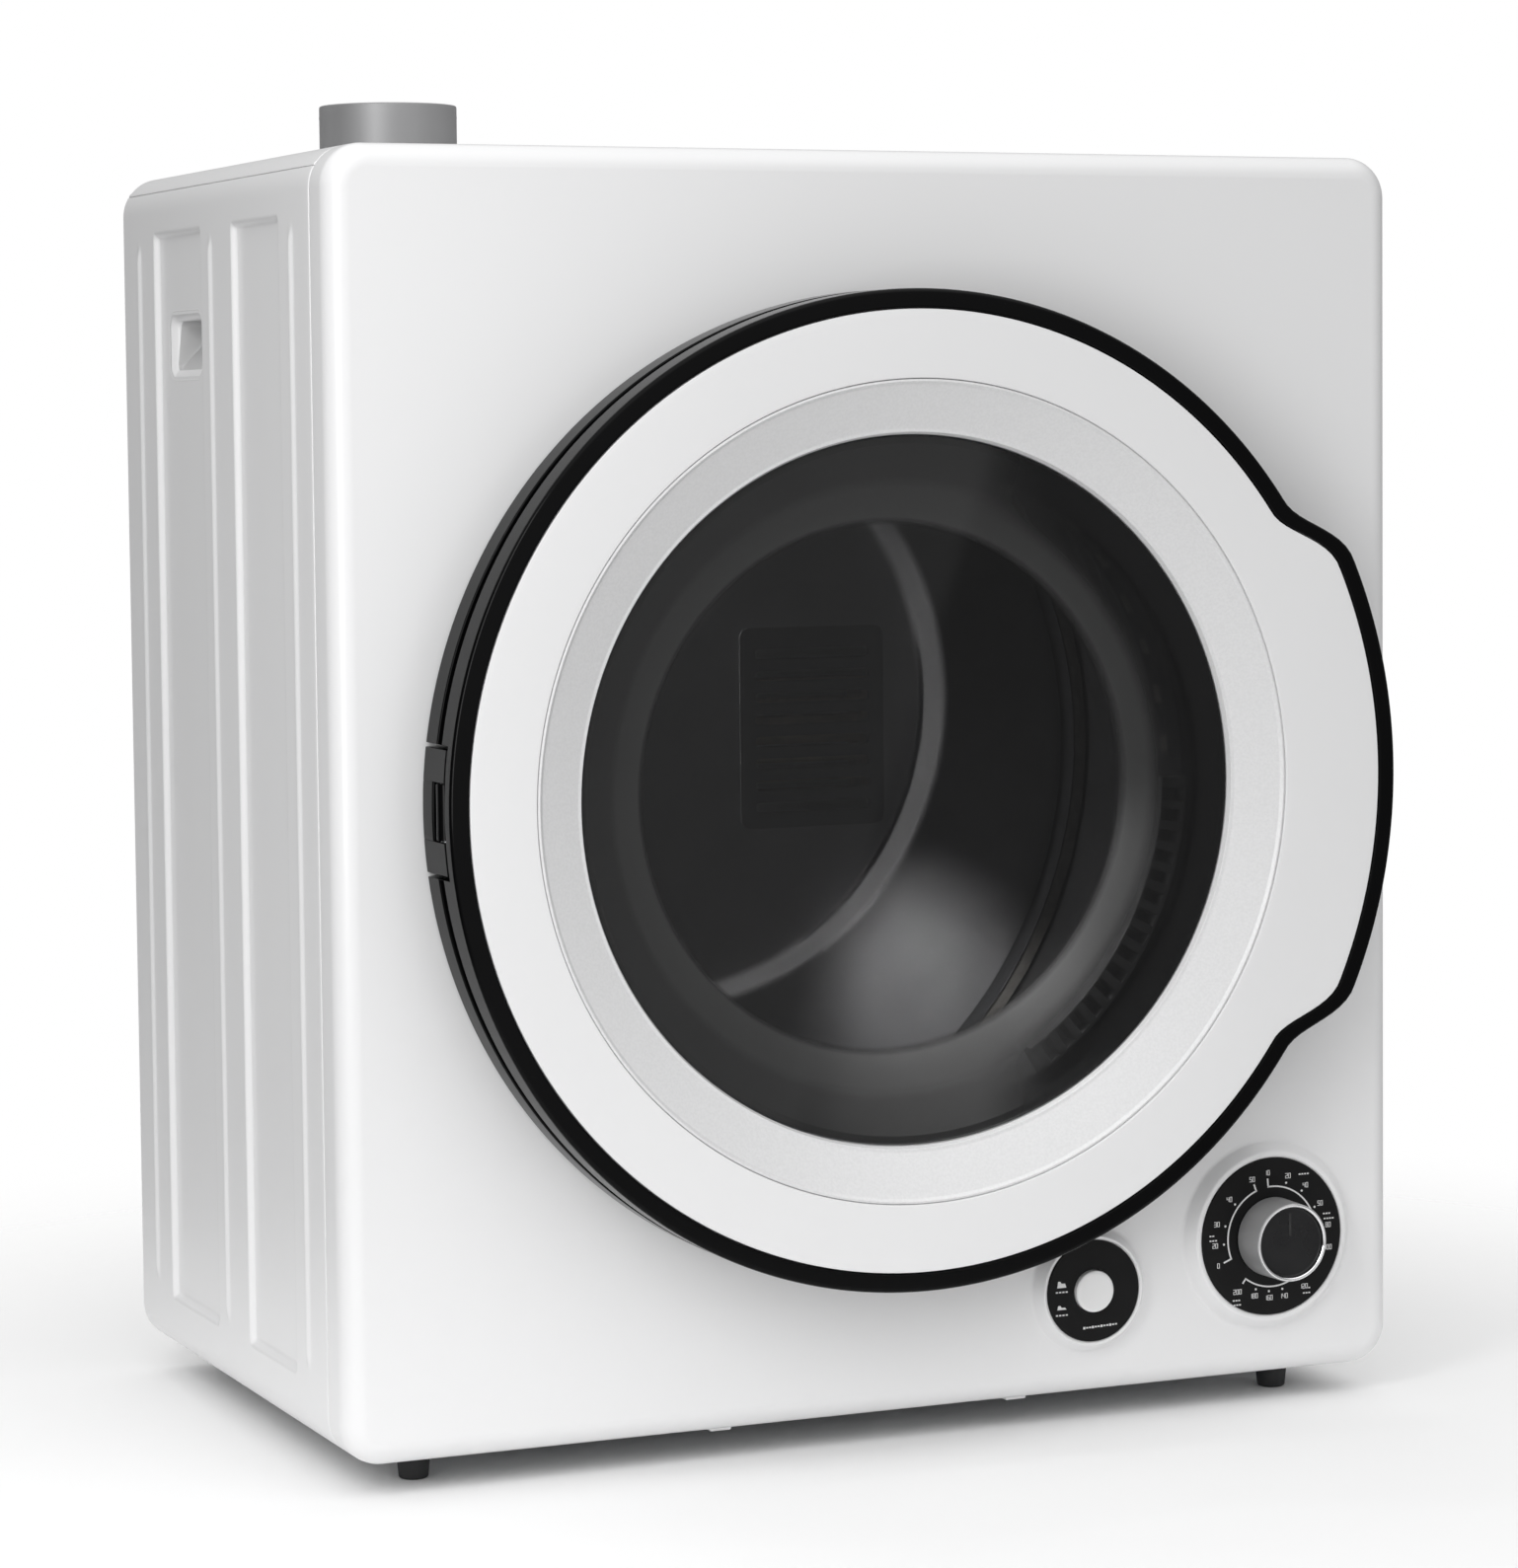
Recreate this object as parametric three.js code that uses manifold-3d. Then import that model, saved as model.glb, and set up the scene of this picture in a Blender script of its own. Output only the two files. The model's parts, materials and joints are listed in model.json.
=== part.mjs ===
// Compact vented clothes dryer, front loading, built as an assembly of separate pieces.
// Millimetres, +Z up. The finished group has its origin on the floor under the centre of the bounding box:
// X runs to the right as the user faces the door, Y runs into the machine, the feet stand on Z = 0.
// Inside the file every piece is drawn in the cabinet frame: x from the centre line, y from the front face
// of the cabinet, z from the underside of the cabinet. One group moves that frame to the final origin.
import * as THREE from "three";
import { mergeVertices } from "three/addons/utils/BufferGeometryUtils.js";
import Module from "manifold-3d";

const wasm = await Module();
wasm.setup();

// ---------------------------------------------------------------- driving dimensions
const CAB_W = 610; // cabinet width
const CAB_H = 666; // cabinet height without feet
const CAB_D = 368; // cabinet depth without door
const CORNER_R = 22; // corner radius of the cabinet seen from the front
const EDGE_R = 12; // rounding of the front panel's edge
const SHEET = 1.5; // sheet metal thickness
const SEAM_Y = 28; // where the front panel's return flange ends
const FOOT_H = 17; // height of the feet below the cabinet
const GAP = 0.3; // gap between pieces that touch

const AXIS_Z = 333; // height of the drum and door axis
const DOOR_Y = -43; // front plane of the door
const DOOR_R = 260; // outer radius of the door rim
const RIM_W = 10; // radial width of the rim
const BULGE = 21.5; // how far the handle stands out on the right
const BULGE_IN = 24.5; // half angle of the handle's full-width part, degrees
const BULGE_OUT = 34.5; // half angle where the handle has run out
const TRIM_IN_R = 213.8; // inner radius of the white trim ring
const WINDOW_R = 184.5; // radius of the flat window
const WINDOW_Y = -29; // front face of the window
const OPENING_R = 205; // drum opening in the front panel
const HINGE_X = -254.5; // hinge pin
const HINGE_Y = -22;

const DRUM_R = 260; // outer radius of the drum
const DRUM_T = 1.2; // drum sheet
const DRUM_Y0 = 44;
const DRUM_Y1 = 282;
const MOUTH_R = 200.5; // drum mouth
const COLLAR_R = 190.5; // collar on the front bulkhead
const REAR_Y = 286; // front face of the rear bulkhead
const PAN_R = 176; // round pan pressed into the rear bulkhead
const PAN_X = -7;
const PAN_Z = 362;
const PAN_DEPTH = 22;

const PIPE_X = -163; // exhaust pipe
const PIPE_Y = 318;
const PIPE_R = 39;
const PIPE_TOP = 706;

const FAN_X = -90; // fan and lint filter
const FAN_Z = 350;
const FAN_Y0 = 311.5;
const FAN_Y1 = 352;
const MOTOR_X = -200; // motor
const MOTOR_Z = 70;
const MOTOR_R = 50;
const ROLLER_R = 22;
const ROLLER_ANGLE = 35; // degrees from straight down
const PULLEY_Y0 = 353.2; // fan belt pulleys
const PULLEY_Y1 = 358.2;
const BELT_Y0 = 129; // drum belt
const BELT_Y1 = 141;

const DIAL_X = 225; // timer dial
const DIAL_Z = 78;
const BUTTON_X = 115; // heat button
const BUTTON_Z = 57.3;
const BOSS_H = 7; // both bosses stand this far out of the face

const FOOT_X = 254;
const FOOT_Y = [45, 323];

const SEG = 44; // facets of the large rings

const RAD = Math.PI / 180;

// ---------------------------------------------------------------- solids
function solid(geometry) {
  const g = geometry.index ? geometry.toNonIndexed() : geometry.clone();
  g.deleteAttribute("normal");
  g.deleteAttribute("uv");
  const m = mergeVertices(g, 1e-4);
  const idx = m.index.array;
  const tri = [];
  for (let i = 0; i < idx.length; i += 3)
    if (idx[i] !== idx[i + 1] && idx[i + 1] !== idx[i + 2] && idx[i] !== idx[i + 2])
      tri.push(idx[i], idx[i + 1], idx[i + 2]);
  const make = (t) =>
    new wasm.Manifold(
      new wasm.Mesh({
        numProp: 3,
        vertProperties: new Float32Array(m.attributes.position.array),
        triVerts: new Uint32Array(t),
      }),
    );
  const s = make(tri);
  if (s.volume() >= 0) return s;
  for (let i = 0; i < tri.length; i += 3) [tri[i + 1], tri[i + 2]] = [tri[i + 2], tri[i + 1]];
  return make(tri);
}
const join = (first, ...rest) => rest.reduce((a, b) => a.add(b), first);
const cut = (first, ...rest) => rest.reduce((a, b) => a.subtract(b), first);

function box(x0, x1, y0, y1, z0, z1) {
  const g = new THREE.BoxGeometry(x1 - x0, y1 - y0, z1 - z0);
  g.translate((x0 + x1) / 2, (y0 + y1) / 2, (z0 + z1) / 2);
  return solid(g);
}
// Cylinders and cones along each axis; r1 is the radius at the far end.
function cylY(x, z, r, y0, y1, seg = 32, r1 = r) {
  const g = new THREE.CylinderGeometry(r1, r, y1 - y0, seg);
  g.translate(x, (y0 + y1) / 2, z);
  return solid(g);
}
function cylZ(x, y, r, z0, z1, seg = 32, r1 = r) {
  const g = new THREE.CylinderGeometry(r1, r, z1 - z0, seg);
  g.rotateX(Math.PI / 2);
  g.translate(x, y, (z0 + z1) / 2);
  return solid(g);
}
// A closed profile of [radius, y] turned about the line (x, z) that runs along Y.
function turned(profile, x = 0, z = AXIS_Z, seg = SEG) {
  const pts = [...profile, profile[0]].map(([r, y]) => new THREE.Vector2(r, y));
  const g = new THREE.LatheGeometry(pts, seg);
  g.translate(x, 0, z);
  return solid(g);
}
// Outline in X and Z, thickened from y0 to y1.
function alongY(points, y0, y1, holes = []) {
  const shape = new THREE.Shape(points.map(([a, b]) => new THREE.Vector2(a, b)));
  holes.forEach((h) => shape.holes.push(new THREE.Path(h.map(([a, b]) => new THREE.Vector2(a, b)))));
  const g = new THREE.ExtrudeGeometry(shape, { depth: y1 - y0, bevelEnabled: false });
  g.rotateX(Math.PI / 2);
  g.translate(0, y1, 0);
  return solid(g);
}
// Rings of points joined into one solid; the end rings are closed from their centres.
function loft(rings) {
  const n = rings[0].length;
  const pos = [];
  const mid = (r) => r.reduce((a, p) => [a[0] + p[0] / n, a[1] + p[1] / n, a[2] + p[2] / n], [0, 0, 0]);
  for (let k = 0; k + 1 < rings.length; k++)
    for (let i = 0; i < n; i++) {
      const j = (i + 1) % n;
      const [a, b, c, d] = [rings[k][i], rings[k][j], rings[k + 1][j], rings[k + 1][i]];
      pos.push(...a, ...b, ...c, ...a, ...c, ...d);
    }
  const first = rings[0];
  const last = rings[rings.length - 1];
  const c0 = mid(first);
  const c1 = mid(last);
  for (let i = 0; i < n; i++) {
    const j = (i + 1) % n;
    pos.push(...c0, ...first[j], ...first[i], ...c1, ...last[i], ...last[j]);
  }
  const g = new THREE.BufferGeometry();
  g.setAttribute("position", new THREE.Float32BufferAttribute(pos, 3));
  return solid(g);
}
// Rounded rectangle as a list of points, counter-clockwise.
function roundRect(a0, a1, b0, b1, r, steps = 4) {
  const out = [];
  [
    [a1 - r, b0 + r, -90],
    [a1 - r, b1 - r, 0],
    [a0 + r, b1 - r, 90],
    [a0 + r, b0 + r, 180],
  ].forEach(([ca, cb, s]) => {
    for (let i = 0; i <= steps; i++) {
      const t = (s + (90 * i) / steps) * RAD;
      out.push([ca + r * Math.cos(t), cb + r * Math.sin(t)]);
    }
  });
  return out;
}
// Share of the handle bulge at an angle about the door axis.
function bulgeAt(deg) {
  const a = Math.abs(((deg + 540) % 360) - 180);
  if (a <= BULGE_IN) return 1;
  if (a >= BULGE_OUT) return 0;
  const t = (BULGE_OUT - a) / (BULGE_OUT - BULGE_IN);
  return t * t * (3 - 2 * t);
}
// A closed profile of [radius, y, bulge] swept round the door axis, with the handle bulge added to the radius.
function doorRing(profile, seg = 60) {
  const n = profile.length;
  const p = (i, j) => {
    const deg = (360 * (i % seg)) / seg;
    const [r, y, b] = profile[j % n];
    const R = r + b * bulgeAt(deg);
    return [R * Math.cos(deg * RAD), y, AXIS_Z + R * Math.sin(deg * RAD)];
  };
  const pos = [];
  for (let i = 0; i < seg; i++)
    for (let j = 0; j < n; j++) {
      const [a, b, c, d] = [p(i, j), p(i, j + 1), p(i + 1, j + 1), p(i + 1, j)];
      pos.push(...a, ...b, ...c, ...a, ...c, ...d);
    }
  const g = new THREE.BufferGeometry();
  g.setAttribute("position", new THREE.Float32BufferAttribute(pos, 3));
  return solid(g);
}

// ---------------------------------------------------------------- scene graph
const part = new THREE.Group();
const cabinetFrame = new THREE.Group();
cabinetFrame.position.set(0, -(CAB_D + DOOR_Y) / 2, FOOT_H);
part.add(cabinetFrame);

function node(name, s, color, roughness, metalness = 0) {
  const m = s.getMesh();
  const v = new Float32Array(m.numVert * 3);
  for (let i = 0; i < m.numVert; i++) {
    v[i * 3] = m.vertProperties[i * m.numProp];
    v[i * 3 + 1] = m.vertProperties[i * m.numProp + 1];
    v[i * 3 + 2] = m.vertProperties[i * m.numProp + 2];
  }
  const g = new THREE.BufferGeometry();
  g.setAttribute("position", new THREE.BufferAttribute(v, 3));
  g.setIndex(new THREE.BufferAttribute(new Uint32Array(m.triVerts), 1));
  g.computeVertexNormals();
  const mesh = new THREE.Mesh(g, new THREE.MeshStandardMaterial({ color, roughness, metalness }));
  mesh.name = name;
  cabinetFrame.add(mesh);
  return mesh;
}
const WHITE = 0xf0f0f0;
const STEEL = 0x9a9ca0;
const ZINC = 0xb4b6b8;
const BLACK = 0x0d0d0f;
const DARK = 0x2b2c2e;
const GREY = 0x77797c;

// ---------------------------------------------------------------- cabinet skin
// A block with rounded corners and a rounded front edge, from y0 back to y1.
function roundedBlock(inset, y0, y1, edge, corner) {
  const rings = [];
  const N = 3;
  for (let i = 0; i <= N; i++) {
    const t = (90 * i) / N;
    const o = edge * (1 - Math.sin(t * RAD));
    const y = y0 + edge * (1 - Math.cos(t * RAD));
    rings.push(
      roundRect(-CAB_W / 2 + inset + o, CAB_W / 2 - inset - o, inset + o, CAB_H - inset - o, Math.max(corner - o, 1.5), 4).map(([a, b]) => [a, y, b]),
    );
  }
  rings.push(rings[N].map(([a, , b]) => [a, y1, b]));
  return loft(rings);
}
function bossOuter(x, z, r) {
  return cylY(x, z, r - 5, -BOSS_H, 0.5, 32, r + 0.35);
}
{
  const shell = cut(roundedBlock(0, 0, SEAM_Y, EDGE_R, CORNER_R), roundedBlock(SHEET, SHEET, SEAM_Y + 5, EDGE_R - SHEET, CORNER_R - SHEET));
  let p = cut(shell, cylY(0, AXIS_Z, OPENING_R, -2, 4, SEG));
  p = join(p, bossOuter(DIAL_X, DIAL_Z, 51.5), bossOuter(BUTTON_X, BUTTON_Z, 34));
  p = cut(
    p,
    cylY(DIAL_X, DIAL_Z, 43.7, -9, -6, 32), // seat of the dial plate
    cylY(DIAL_X, DIAL_Z, 44.5, -4.5, 4, 32), // hollow behind the boss
    cylY(DIAL_X, DIAL_Z, 5, -8, 4, 16),
    cylY(BUTTON_X, BUTTON_Z, 27.9, -9, -6, 28),
    cylY(BUTTON_X, BUTTON_Z, 27, -4.5, 4, 28),
    cylY(BUTTON_X, BUTTON_Z, 12, -8, 4, 24),
    box(232, 249, -2, 4, 319, 347), // slot for the latch striker
  );
  // Two clips on the bottom flange.
  p = join(p, box(-101, -87, 15, 24, -2.5, 0.8), box(72, 86, 15, 24, -2.5, 0.8));
  node("front_panel", p, WHITE, 0.35);
}
const SKIN_Y0 = SEAM_Y + 0.8;
const arc = (cx, cz, r, a0, a1, n = 5) =>
  Array.from({ length: n + 1 }, (_, i) => {
    const t = (a0 + ((a1 - a0) * i) / n) * RAD;
    return [cx + r * Math.cos(t), cz + r * Math.sin(t)];
  });
const SEAM_DEG = 30; // the top seam sits this far up the corner bend
// Pressed recess in a side panel: y range, z range, depth and slope width.
const RECESSES = [
  [62, 172, 35, 635, 4, 14, 14],
  [200, 309, 35, 635, 4, 14, 14],
  [325, 341, 35, 635, 3, 7, 7.9],
];
function sidePanel(s) {
  const cx = -CAB_W / 2 + CORNER_R;
  const path = (o) => [
    [-273, o],
    ...arc(cx, CORNER_R, CORNER_R - o, 270, 180),
    ...arc(cx, CAB_H - CORNER_R, CORNER_R - o, 180, 180 - SEAM_DEG, 2),
  ];
  const outline = [...path(0), ...path(SHEET).reverse()].map(([a, b]) => [s * a, b]);
  let p = alongY(outline, SKIN_Y0, CAB_D);
  const X0 = -CAB_W / 2;
  const frustum = ([y0, y1, z0, z1, depth, slope, r], grow, front) => {
    const ring = (o, x) => roundRect(y0 + o - grow, y1 - o + grow, z0 + o - grow, z1 - o + grow, Math.max(r - o * 0.6, 2), 2).map(([a, b]) => [s * x, a, b]);
    return loft([ring(-2 * slope / depth, X0 - 2), ring(0, X0), ring(slope - 0.6, X0 + depth + (front ? 0 : SHEET))]);
  };
  for (const r of RECESSES) {
    const back = frustum(r, 1.2, false).intersect(box(s > 0 ? X0 + 0.2 : -X0 - 20, s > 0 ? X0 + 20 : -X0 - 0.2, 0, CAB_D, 0, CAB_H));
    p = join(p, back);
  }
  for (const r of RECESSES) p = cut(p, frustum(r, 0, true));
  // Rear return flange that the rear panel is screwed to.
  const f = [-CAB_W / 2 + 1, -275].map((v) => s * v).sort((a, b) => a - b);
  p = join(p, box(f[0], f[1], 357.5, 359, 60, 620));
  p = cut(p, cylY(s * -289, 120, 2.1, 355, 361, 12), cylY(s * -289, 560, 2.1, 355, 361, 12));
  // Window for the grip cup.
  const w = [-CAB_W / 2 - 5, -CAB_W / 2 + 12].map((v) => s * v).sort((a, b) => a - b);
  return cut(p, box(w[0], w[1], 228, 288, 553, 587));
}
node("left_side_panel", sidePanel(1), WHITE, 0.4);
node("right_side_panel", sidePanel(-1), WHITE, 0.4);
{
  const cx = CAB_W / 2 - CORNER_R;
  const cz = CAB_H - CORNER_R;
  const path = (o) => [...arc(-cx, cz, CORNER_R - o, 180 - SEAM_DEG - 1.2, 90, 4), ...arc(cx, cz, CORNER_R - o, 90, SEAM_DEG + 1.2, 4)];
  const p = alongY([...path(0), ...path(SHEET).reverse()], SKIN_Y0, CAB_D);
  node("top_panel", cut(p, cylZ(PIPE_X, PIPE_Y, PIPE_R + 0.5, CAB_H - 5, CAB_H + 5, 32)), WHITE, 0.35);
}
function gripCup(s) {
  const x0 = -CAB_W / 2 + 4.2;
  const out = [
    [x0, 586.6],
    [x0 + 26, 586.6],
    [x0 + 26, 573],
    [x0 + 6, 553.4],
    [x0, 553.4],
  ];
  const inn = [
    [x0 - 1, 585.1],
    [x0 + 24.5, 585.1],
    [x0 + 24.5, 573.6],
    [x0 + 5.4, 554.9],
    [x0 - 1, 554.9],
  ];
  const m = (pts) => pts.map(([a, b]) => [s * a, b]);
  return cut(alongY(m(out), 228.4, 287.6), alongY(m(inn), 229.9, 286.1));
}
node("left_grip_cup", gripCup(1), WHITE, 0.45);
node("right_grip_cup", gripCup(-1), WHITE, 0.45);
{
  const o = roundRect(-302.9, 302.9, 2.1, 663.9, 19.9, 4);
  const i = roundRect(-301.4, 301.4, 3.6, 662.4, 18.4, 4);
  let p = cut(alongY(o, 360, 367.5), alongY(i, 361.5, 370));
  p = cut(p, box(70, 190, 355, 365, 70, 170), cylY(-262, 60, 8.5, 355, 365, 20));
  for (const [x, z] of [[-289, 120], [289, 120], [-289, 560], [289, 560]]) p = cut(p, cylY(x, z, 2.4, 355, 365, 12));
  node("rear_panel", p, WHITE, 0.45);
}
{
  let p = box(64, 196, 361.8, 363.8, 64, 176);
  for (let k = 0; k < 9; k++) p = cut(p, box(74, 186, 360, 366, 73 + k * 11, 78.5 + k * 11));
  node("rear_vent_grille", p, DARK, 0.6);
}
[[-289, 120], [289, 120], [-289, 560], [289, 560]].forEach(([x, z], i) =>
  node("rear_screw_" + (i + 1), join(cylY(x, z, 5, 361.8, 363.6, 12, 4), cylY(x, z, 1.8, 351, 362, 8)), ZINC, 0.4, 0.8),
);
node(
  "cord_grommet",
  turned([[4.5, 358.5], [8, 358.5], [8, 361.8], [12, 361.8], [12, 365], [4.5, 365]], -262, 60, 20),
  BLACK,
  0.8,
);
{
  let p = cut(box(-280, 280, 14, 356.5, 1.8, 18), box(-278.5, 278.5, 15.5, 355, 3.3, 25));
  for (const y of FOOT_Y) for (const s of [-1, 1]) p = cut(p, cylZ(s * FOOT_X, y, 3.5, 0, 6, 12));
  node("base_pan", p, STEEL, 0.5, 0.7);
}
[["front_left", -1, 0], ["front_right", 1, 0], ["rear_left", -1, 1], ["rear_right", 1, 1]].forEach(([n, s, k]) =>
  node("foot_" + n, join(cylZ(s * FOOT_X, FOOT_Y[k], 8, -FOOT_H, 1.5, 16, 9.5), cylZ(s * FOOT_X, FOOT_Y[k], 3, 1, 12, 8)), BLACK, 0.8),
);

// ---------------------------------------------------------------- bulkheads and air path
const bulkheadOutline = [
  [-277, 3.6],
  [277, 3.6],
  [277, 20],
  [298, 20],
  [298, 640],
  [283, 657],
  [-283, 657],
  [-298, 640],
  [-298, 20],
  [-277, 20],
];
{
  let p = alongY(bulkheadOutline, 32, 33.5);
  p = cut(p, box(80, 320, 25, 40, 0, 118)); // room for the timer and the switch
  p = cut(p, cylY(0, AXIS_Z, 189.8, 25, 40, SEG));
  const collar = turned([[204.2, 2], [COLLAR_R, 32], [COLLAR_R, 58], [COLLAR_R - 1.5, 58], [COLLAR_R - 1.5, 31.6], [202.6, 2]]);
  node("front_bulkhead", join(p, collar), GREY, 0.5, 0.3);
}
{
  // Ribbed air grille on the lower right of the front collar.
  const a0 = -58;
  const a1 = -1;
  const pts = (r) => arc(0, AXIS_Z, r, a0, a1, 12);
  let p = alongY([...pts(188.3), ...pts(172).reverse()], 19, 31);
  for (let k = 0; k < 15; k++) {
    const t = (a0 + 3 + k * 3.65) * RAD;
    const d = [Math.cos(t), Math.sin(t)];
    const n = [-d[1], d[0]];
    const q = (r, w) => [r * d[0] + w * n[0], AXIS_Z + r * d[1] + w * n[1]];
    p = cut(p, alongY([q(174.5, -3), q(185.5, -3), q(185.5, 3), q(174.5, 3)], 17, 28.5));
  }
  p = cut(p, turned([[203.9, 1.7], [COLLAR_R - 1.9, 31.7], [230, 31.7], [230, 1.7]])); // stays clear of the collar
  node("front_air_grille", p, GREY, 0.5);
}
node("front_felt_seal", turned([[COLLAR_R + 0.4, 46.2], [199.2, 46.2], [199.2, 54], [COLLAR_R + 0.4, 54]]), 0x5a5550, 0.95);
node("rear_felt_seal", turned([[250.4, 271], [257.6, 271], [257.6, 281], [250.4, 281]]), 0x5a5550, 0.95);
{
  let p = alongY(bulkheadOutline, REAR_Y, REAR_Y + SHEET);
  p = cut(p, box(-212, -112, 280, 295, 556, 670)); // room for the exhaust pipe
  p = cut(p, box(-310, -268, 280, 295, 545, 596), box(268, 310, 280, 295, 545, 596)); // room for the grip cups
  const pan = turned(
    [[0, REAR_Y + PAN_DEPTH], [PAN_R - 3, REAR_Y + PAN_DEPTH], [PAN_R, REAR_Y + 0.2], [PAN_R + 6, REAR_Y + 0.2], [PAN_R + 6, REAR_Y + 1.4], [PAN_R + 1.5, REAR_Y + 1.4], [PAN_R - 1.5, REAR_Y + PAN_DEPTH + SHEET], [0, REAR_Y + PAN_DEPTH + SHEET]],
    PAN_X,
    PAN_Z,
  );
  p = join(cut(p, cylY(PAN_X, PAN_Z, PAN_R + 2, 280, 290, SEG)), pan);
  p = join(p, turned([[248.5, 270], [250, 270], [250, 287], [248.5, 287]]));
  p = cut(p, cylY(FAN_X, FAN_Z, 60, 300, 315, 28)); // fan inlet
  p = cut(p, box(52, 134, 300, 315, 290, 398)); // hot air window
  p = cut(p, cylY(MOTOR_X, MOTOR_Z, 8, 280, 295, 16)); // motor shaft
  for (const s of [-1, 1]) {
    const d = DRUM_R + 0.9 + ROLLER_R;
    p = join(p, cylY(s * d * Math.sin(ROLLER_ANGLE * RAD), AXIS_Z - d * Math.cos(ROLLER_ANGLE * RAD), 5, 257, 287, 16));
  }
  node("rear_bulkhead", p, GREY, 0.45, 0.4);
}
{
  let p = box(46, 140, 305.9, 307.6, 284, 404);
  for (let k = 0; k < 8; k++) p = cut(p, box(56, 130, 300, 310, 294 + k * 13, 300 + k * 13));
  node("hot_air_grille", p, STEEL, 0.4, 0.7);
}
{
  const scroll = (o) => {
    const pts = [];
    for (let i = 0; i <= 22; i++) {
      const a = 113 - (293 * i) / 22;
      const r = 80 + (34 * i) / 22 - o;
      pts.push([FAN_X + r * Math.cos(a * RAD), FAN_Z + r * Math.sin(a * RAD)]);
    }
    return pts;
  };
  const outer = [[-204, 565], [-124, 565], ...scroll(0)];
  const inner = [[-202, 600], [-126, 600], ...scroll(2)];
  let p = cut(alongY(outer, FAN_Y0, FAN_Y1), alongY(inner, FAN_Y0 + 1.5, FAN_Y1 - 2));
  p = cut(p, cylY(FAN_X, FAN_Z, 60, 305, 315, 28), cylY(FAN_X, FAN_Z, 8, 345, 356, 16));
  node("fan_housing", p, GREY, 0.5);
}
{
  const rect = (x0, x1, y0, y1, z) => roundRect(x0, x1, y0, y1, 1.2, 5).map(([a, b]) => [a, b, z]);
  const circ = (r, z) =>
    roundRect(-1, 1, -1, 1, 1, 5).map((_, i, all) => {
      // Same start and direction as the rectangle: the four corner groups spread evenly round the circle.
      const n = all.length;
      const t = (-90 + (360 * (i + 0.5)) / n) * RAD;
      return [PIPE_X + r * Math.cos(t), PIPE_Y + r * Math.sin(t), z];
    });
  const outer = loft([rect(-204, -124, FAN_Y0, FAN_Y1, 565.4), circ(41, 598), circ(41, 608)]);
  const inner = loft([rect(-202.5, -125.5, FAN_Y0 + 1.5, FAN_Y1 - 1.5, 565.3), circ(39.6, 598.1), circ(39.6, 608.1)]);
  const mouth = loft([rect(-202.5, -125.5, FAN_Y0 + 1.5, FAN_Y1 - 1.5, 560), rect(-202.5, -125.5, FAN_Y0 + 1.5, FAN_Y1 - 1.5, 565.6)]);
  node("duct_boot", cut(outer, inner, mouth, cylZ(PIPE_X, PIPE_Y, 39.5, 600, 615, 32)), ZINC, 0.5, 0.6);
}
node("exhaust_pipe", cut(cylZ(PIPE_X, PIPE_Y, PIPE_R, 599, PIPE_TOP, 32), cylZ(PIPE_X, PIPE_Y, PIPE_R - 1.2, 590, PIPE_TOP + 5, 32)), 0xa8aaac, 0.35, 0.9);
{
  let p = cut(box(44, 150, FAN_Y0, FAN_Y1, 262, 408), box(45.5, 148.5, FAN_Y0 - 3, FAN_Y1 - 1.5, 263.5, 406.5));
  p = cut(p, box(70, 124, 318, 345, 255, 268));
  node("heater_box", p, ZINC, 0.45, 0.7);
}
{
  let p = box(58, 136, 321, 341, 300, 372);
  for (let k = 0; k < 6; k++) p = cut(p, box(62, 132, 318, 345, 305 + k * 11, 311 + k * 11));
  node("heater_element", p, 0x8c6f4a, 0.6, 0.2);
}
// ---------------------------------------------------------------- drive
{
  const body = turned([[0, 150], [MOTOR_R - 5, 150], [MOTOR_R, 155], [MOTOR_R, 235], [MOTOR_R - 5, 240], [0, 240]], MOTOR_X, MOTOR_Z, 24);
  node("motor_housing", cut(body, cylY(MOTOR_X, MOTOR_Z, 6, 140, 250, 16)), STEEL, 0.5, 0.6);
}
node("motor_bracket", cut(box(-245, -155, 165, 225, 3.6, 46), cylY(MOTOR_X, MOTOR_Z, MOTOR_R + 0.6, 150, 240, 32)), DARK, 0.6, 0.3);
node(
  "motor_shaft",
  join(
    cylY(MOTOR_X, MOTOR_Z, 5, 124, 359, 12),
    turned([[0, 126], [14, 126], [14, 128], [11, 128], [11, 142], [14, 142], [14, 144], [0, 144]], MOTOR_X, MOTOR_Z, 16),
    cylY(MOTOR_X, MOTOR_Z, 14, PULLEY_Y0, PULLEY_Y1, 16),
  ),
  STEEL,
  0.35,
  0.9,
);
// Loop of two radii about two centres: the outline of the stretched belt.
function loopOutline([xa, za, ra], [xb, zb, rb], n = 40) {
  const d = Math.hypot(xb - xa, zb - za);
  const base = Math.atan2(zb - za, xb - xa);
  const t = Math.acos((ra - rb) / d);
  const pts = [];
  for (let i = 0; i <= n; i++) {
    const a = base + t + ((2 * Math.PI - 2 * t) * i) / n;
    pts.push([xa + ra * Math.cos(a), za + ra * Math.sin(a)]);
  }
  const m = Math.max(6, Math.round(n / 6));
  for (let i = 0; i <= m; i++) {
    const a = base - t + (2 * t * i) / m;
    pts.push([xb + rb * Math.cos(a), zb + rb * Math.sin(a)]);
  }
  return pts;
}
node(
  "drum_belt",
  cut(
    alongY(loopOutline([0, AXIS_Z, DRUM_R + 3.4], [MOTOR_X, MOTOR_Z, 13.7]), BELT_Y0, BELT_Y1),
    alongY(loopOutline([0, AXIS_Z, DRUM_R + 1.4], [MOTOR_X, MOTOR_Z, 11.7]), BELT_Y0 - 1, BELT_Y1 + 1),
  ),
  BLACK,
  0.9,
);
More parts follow.
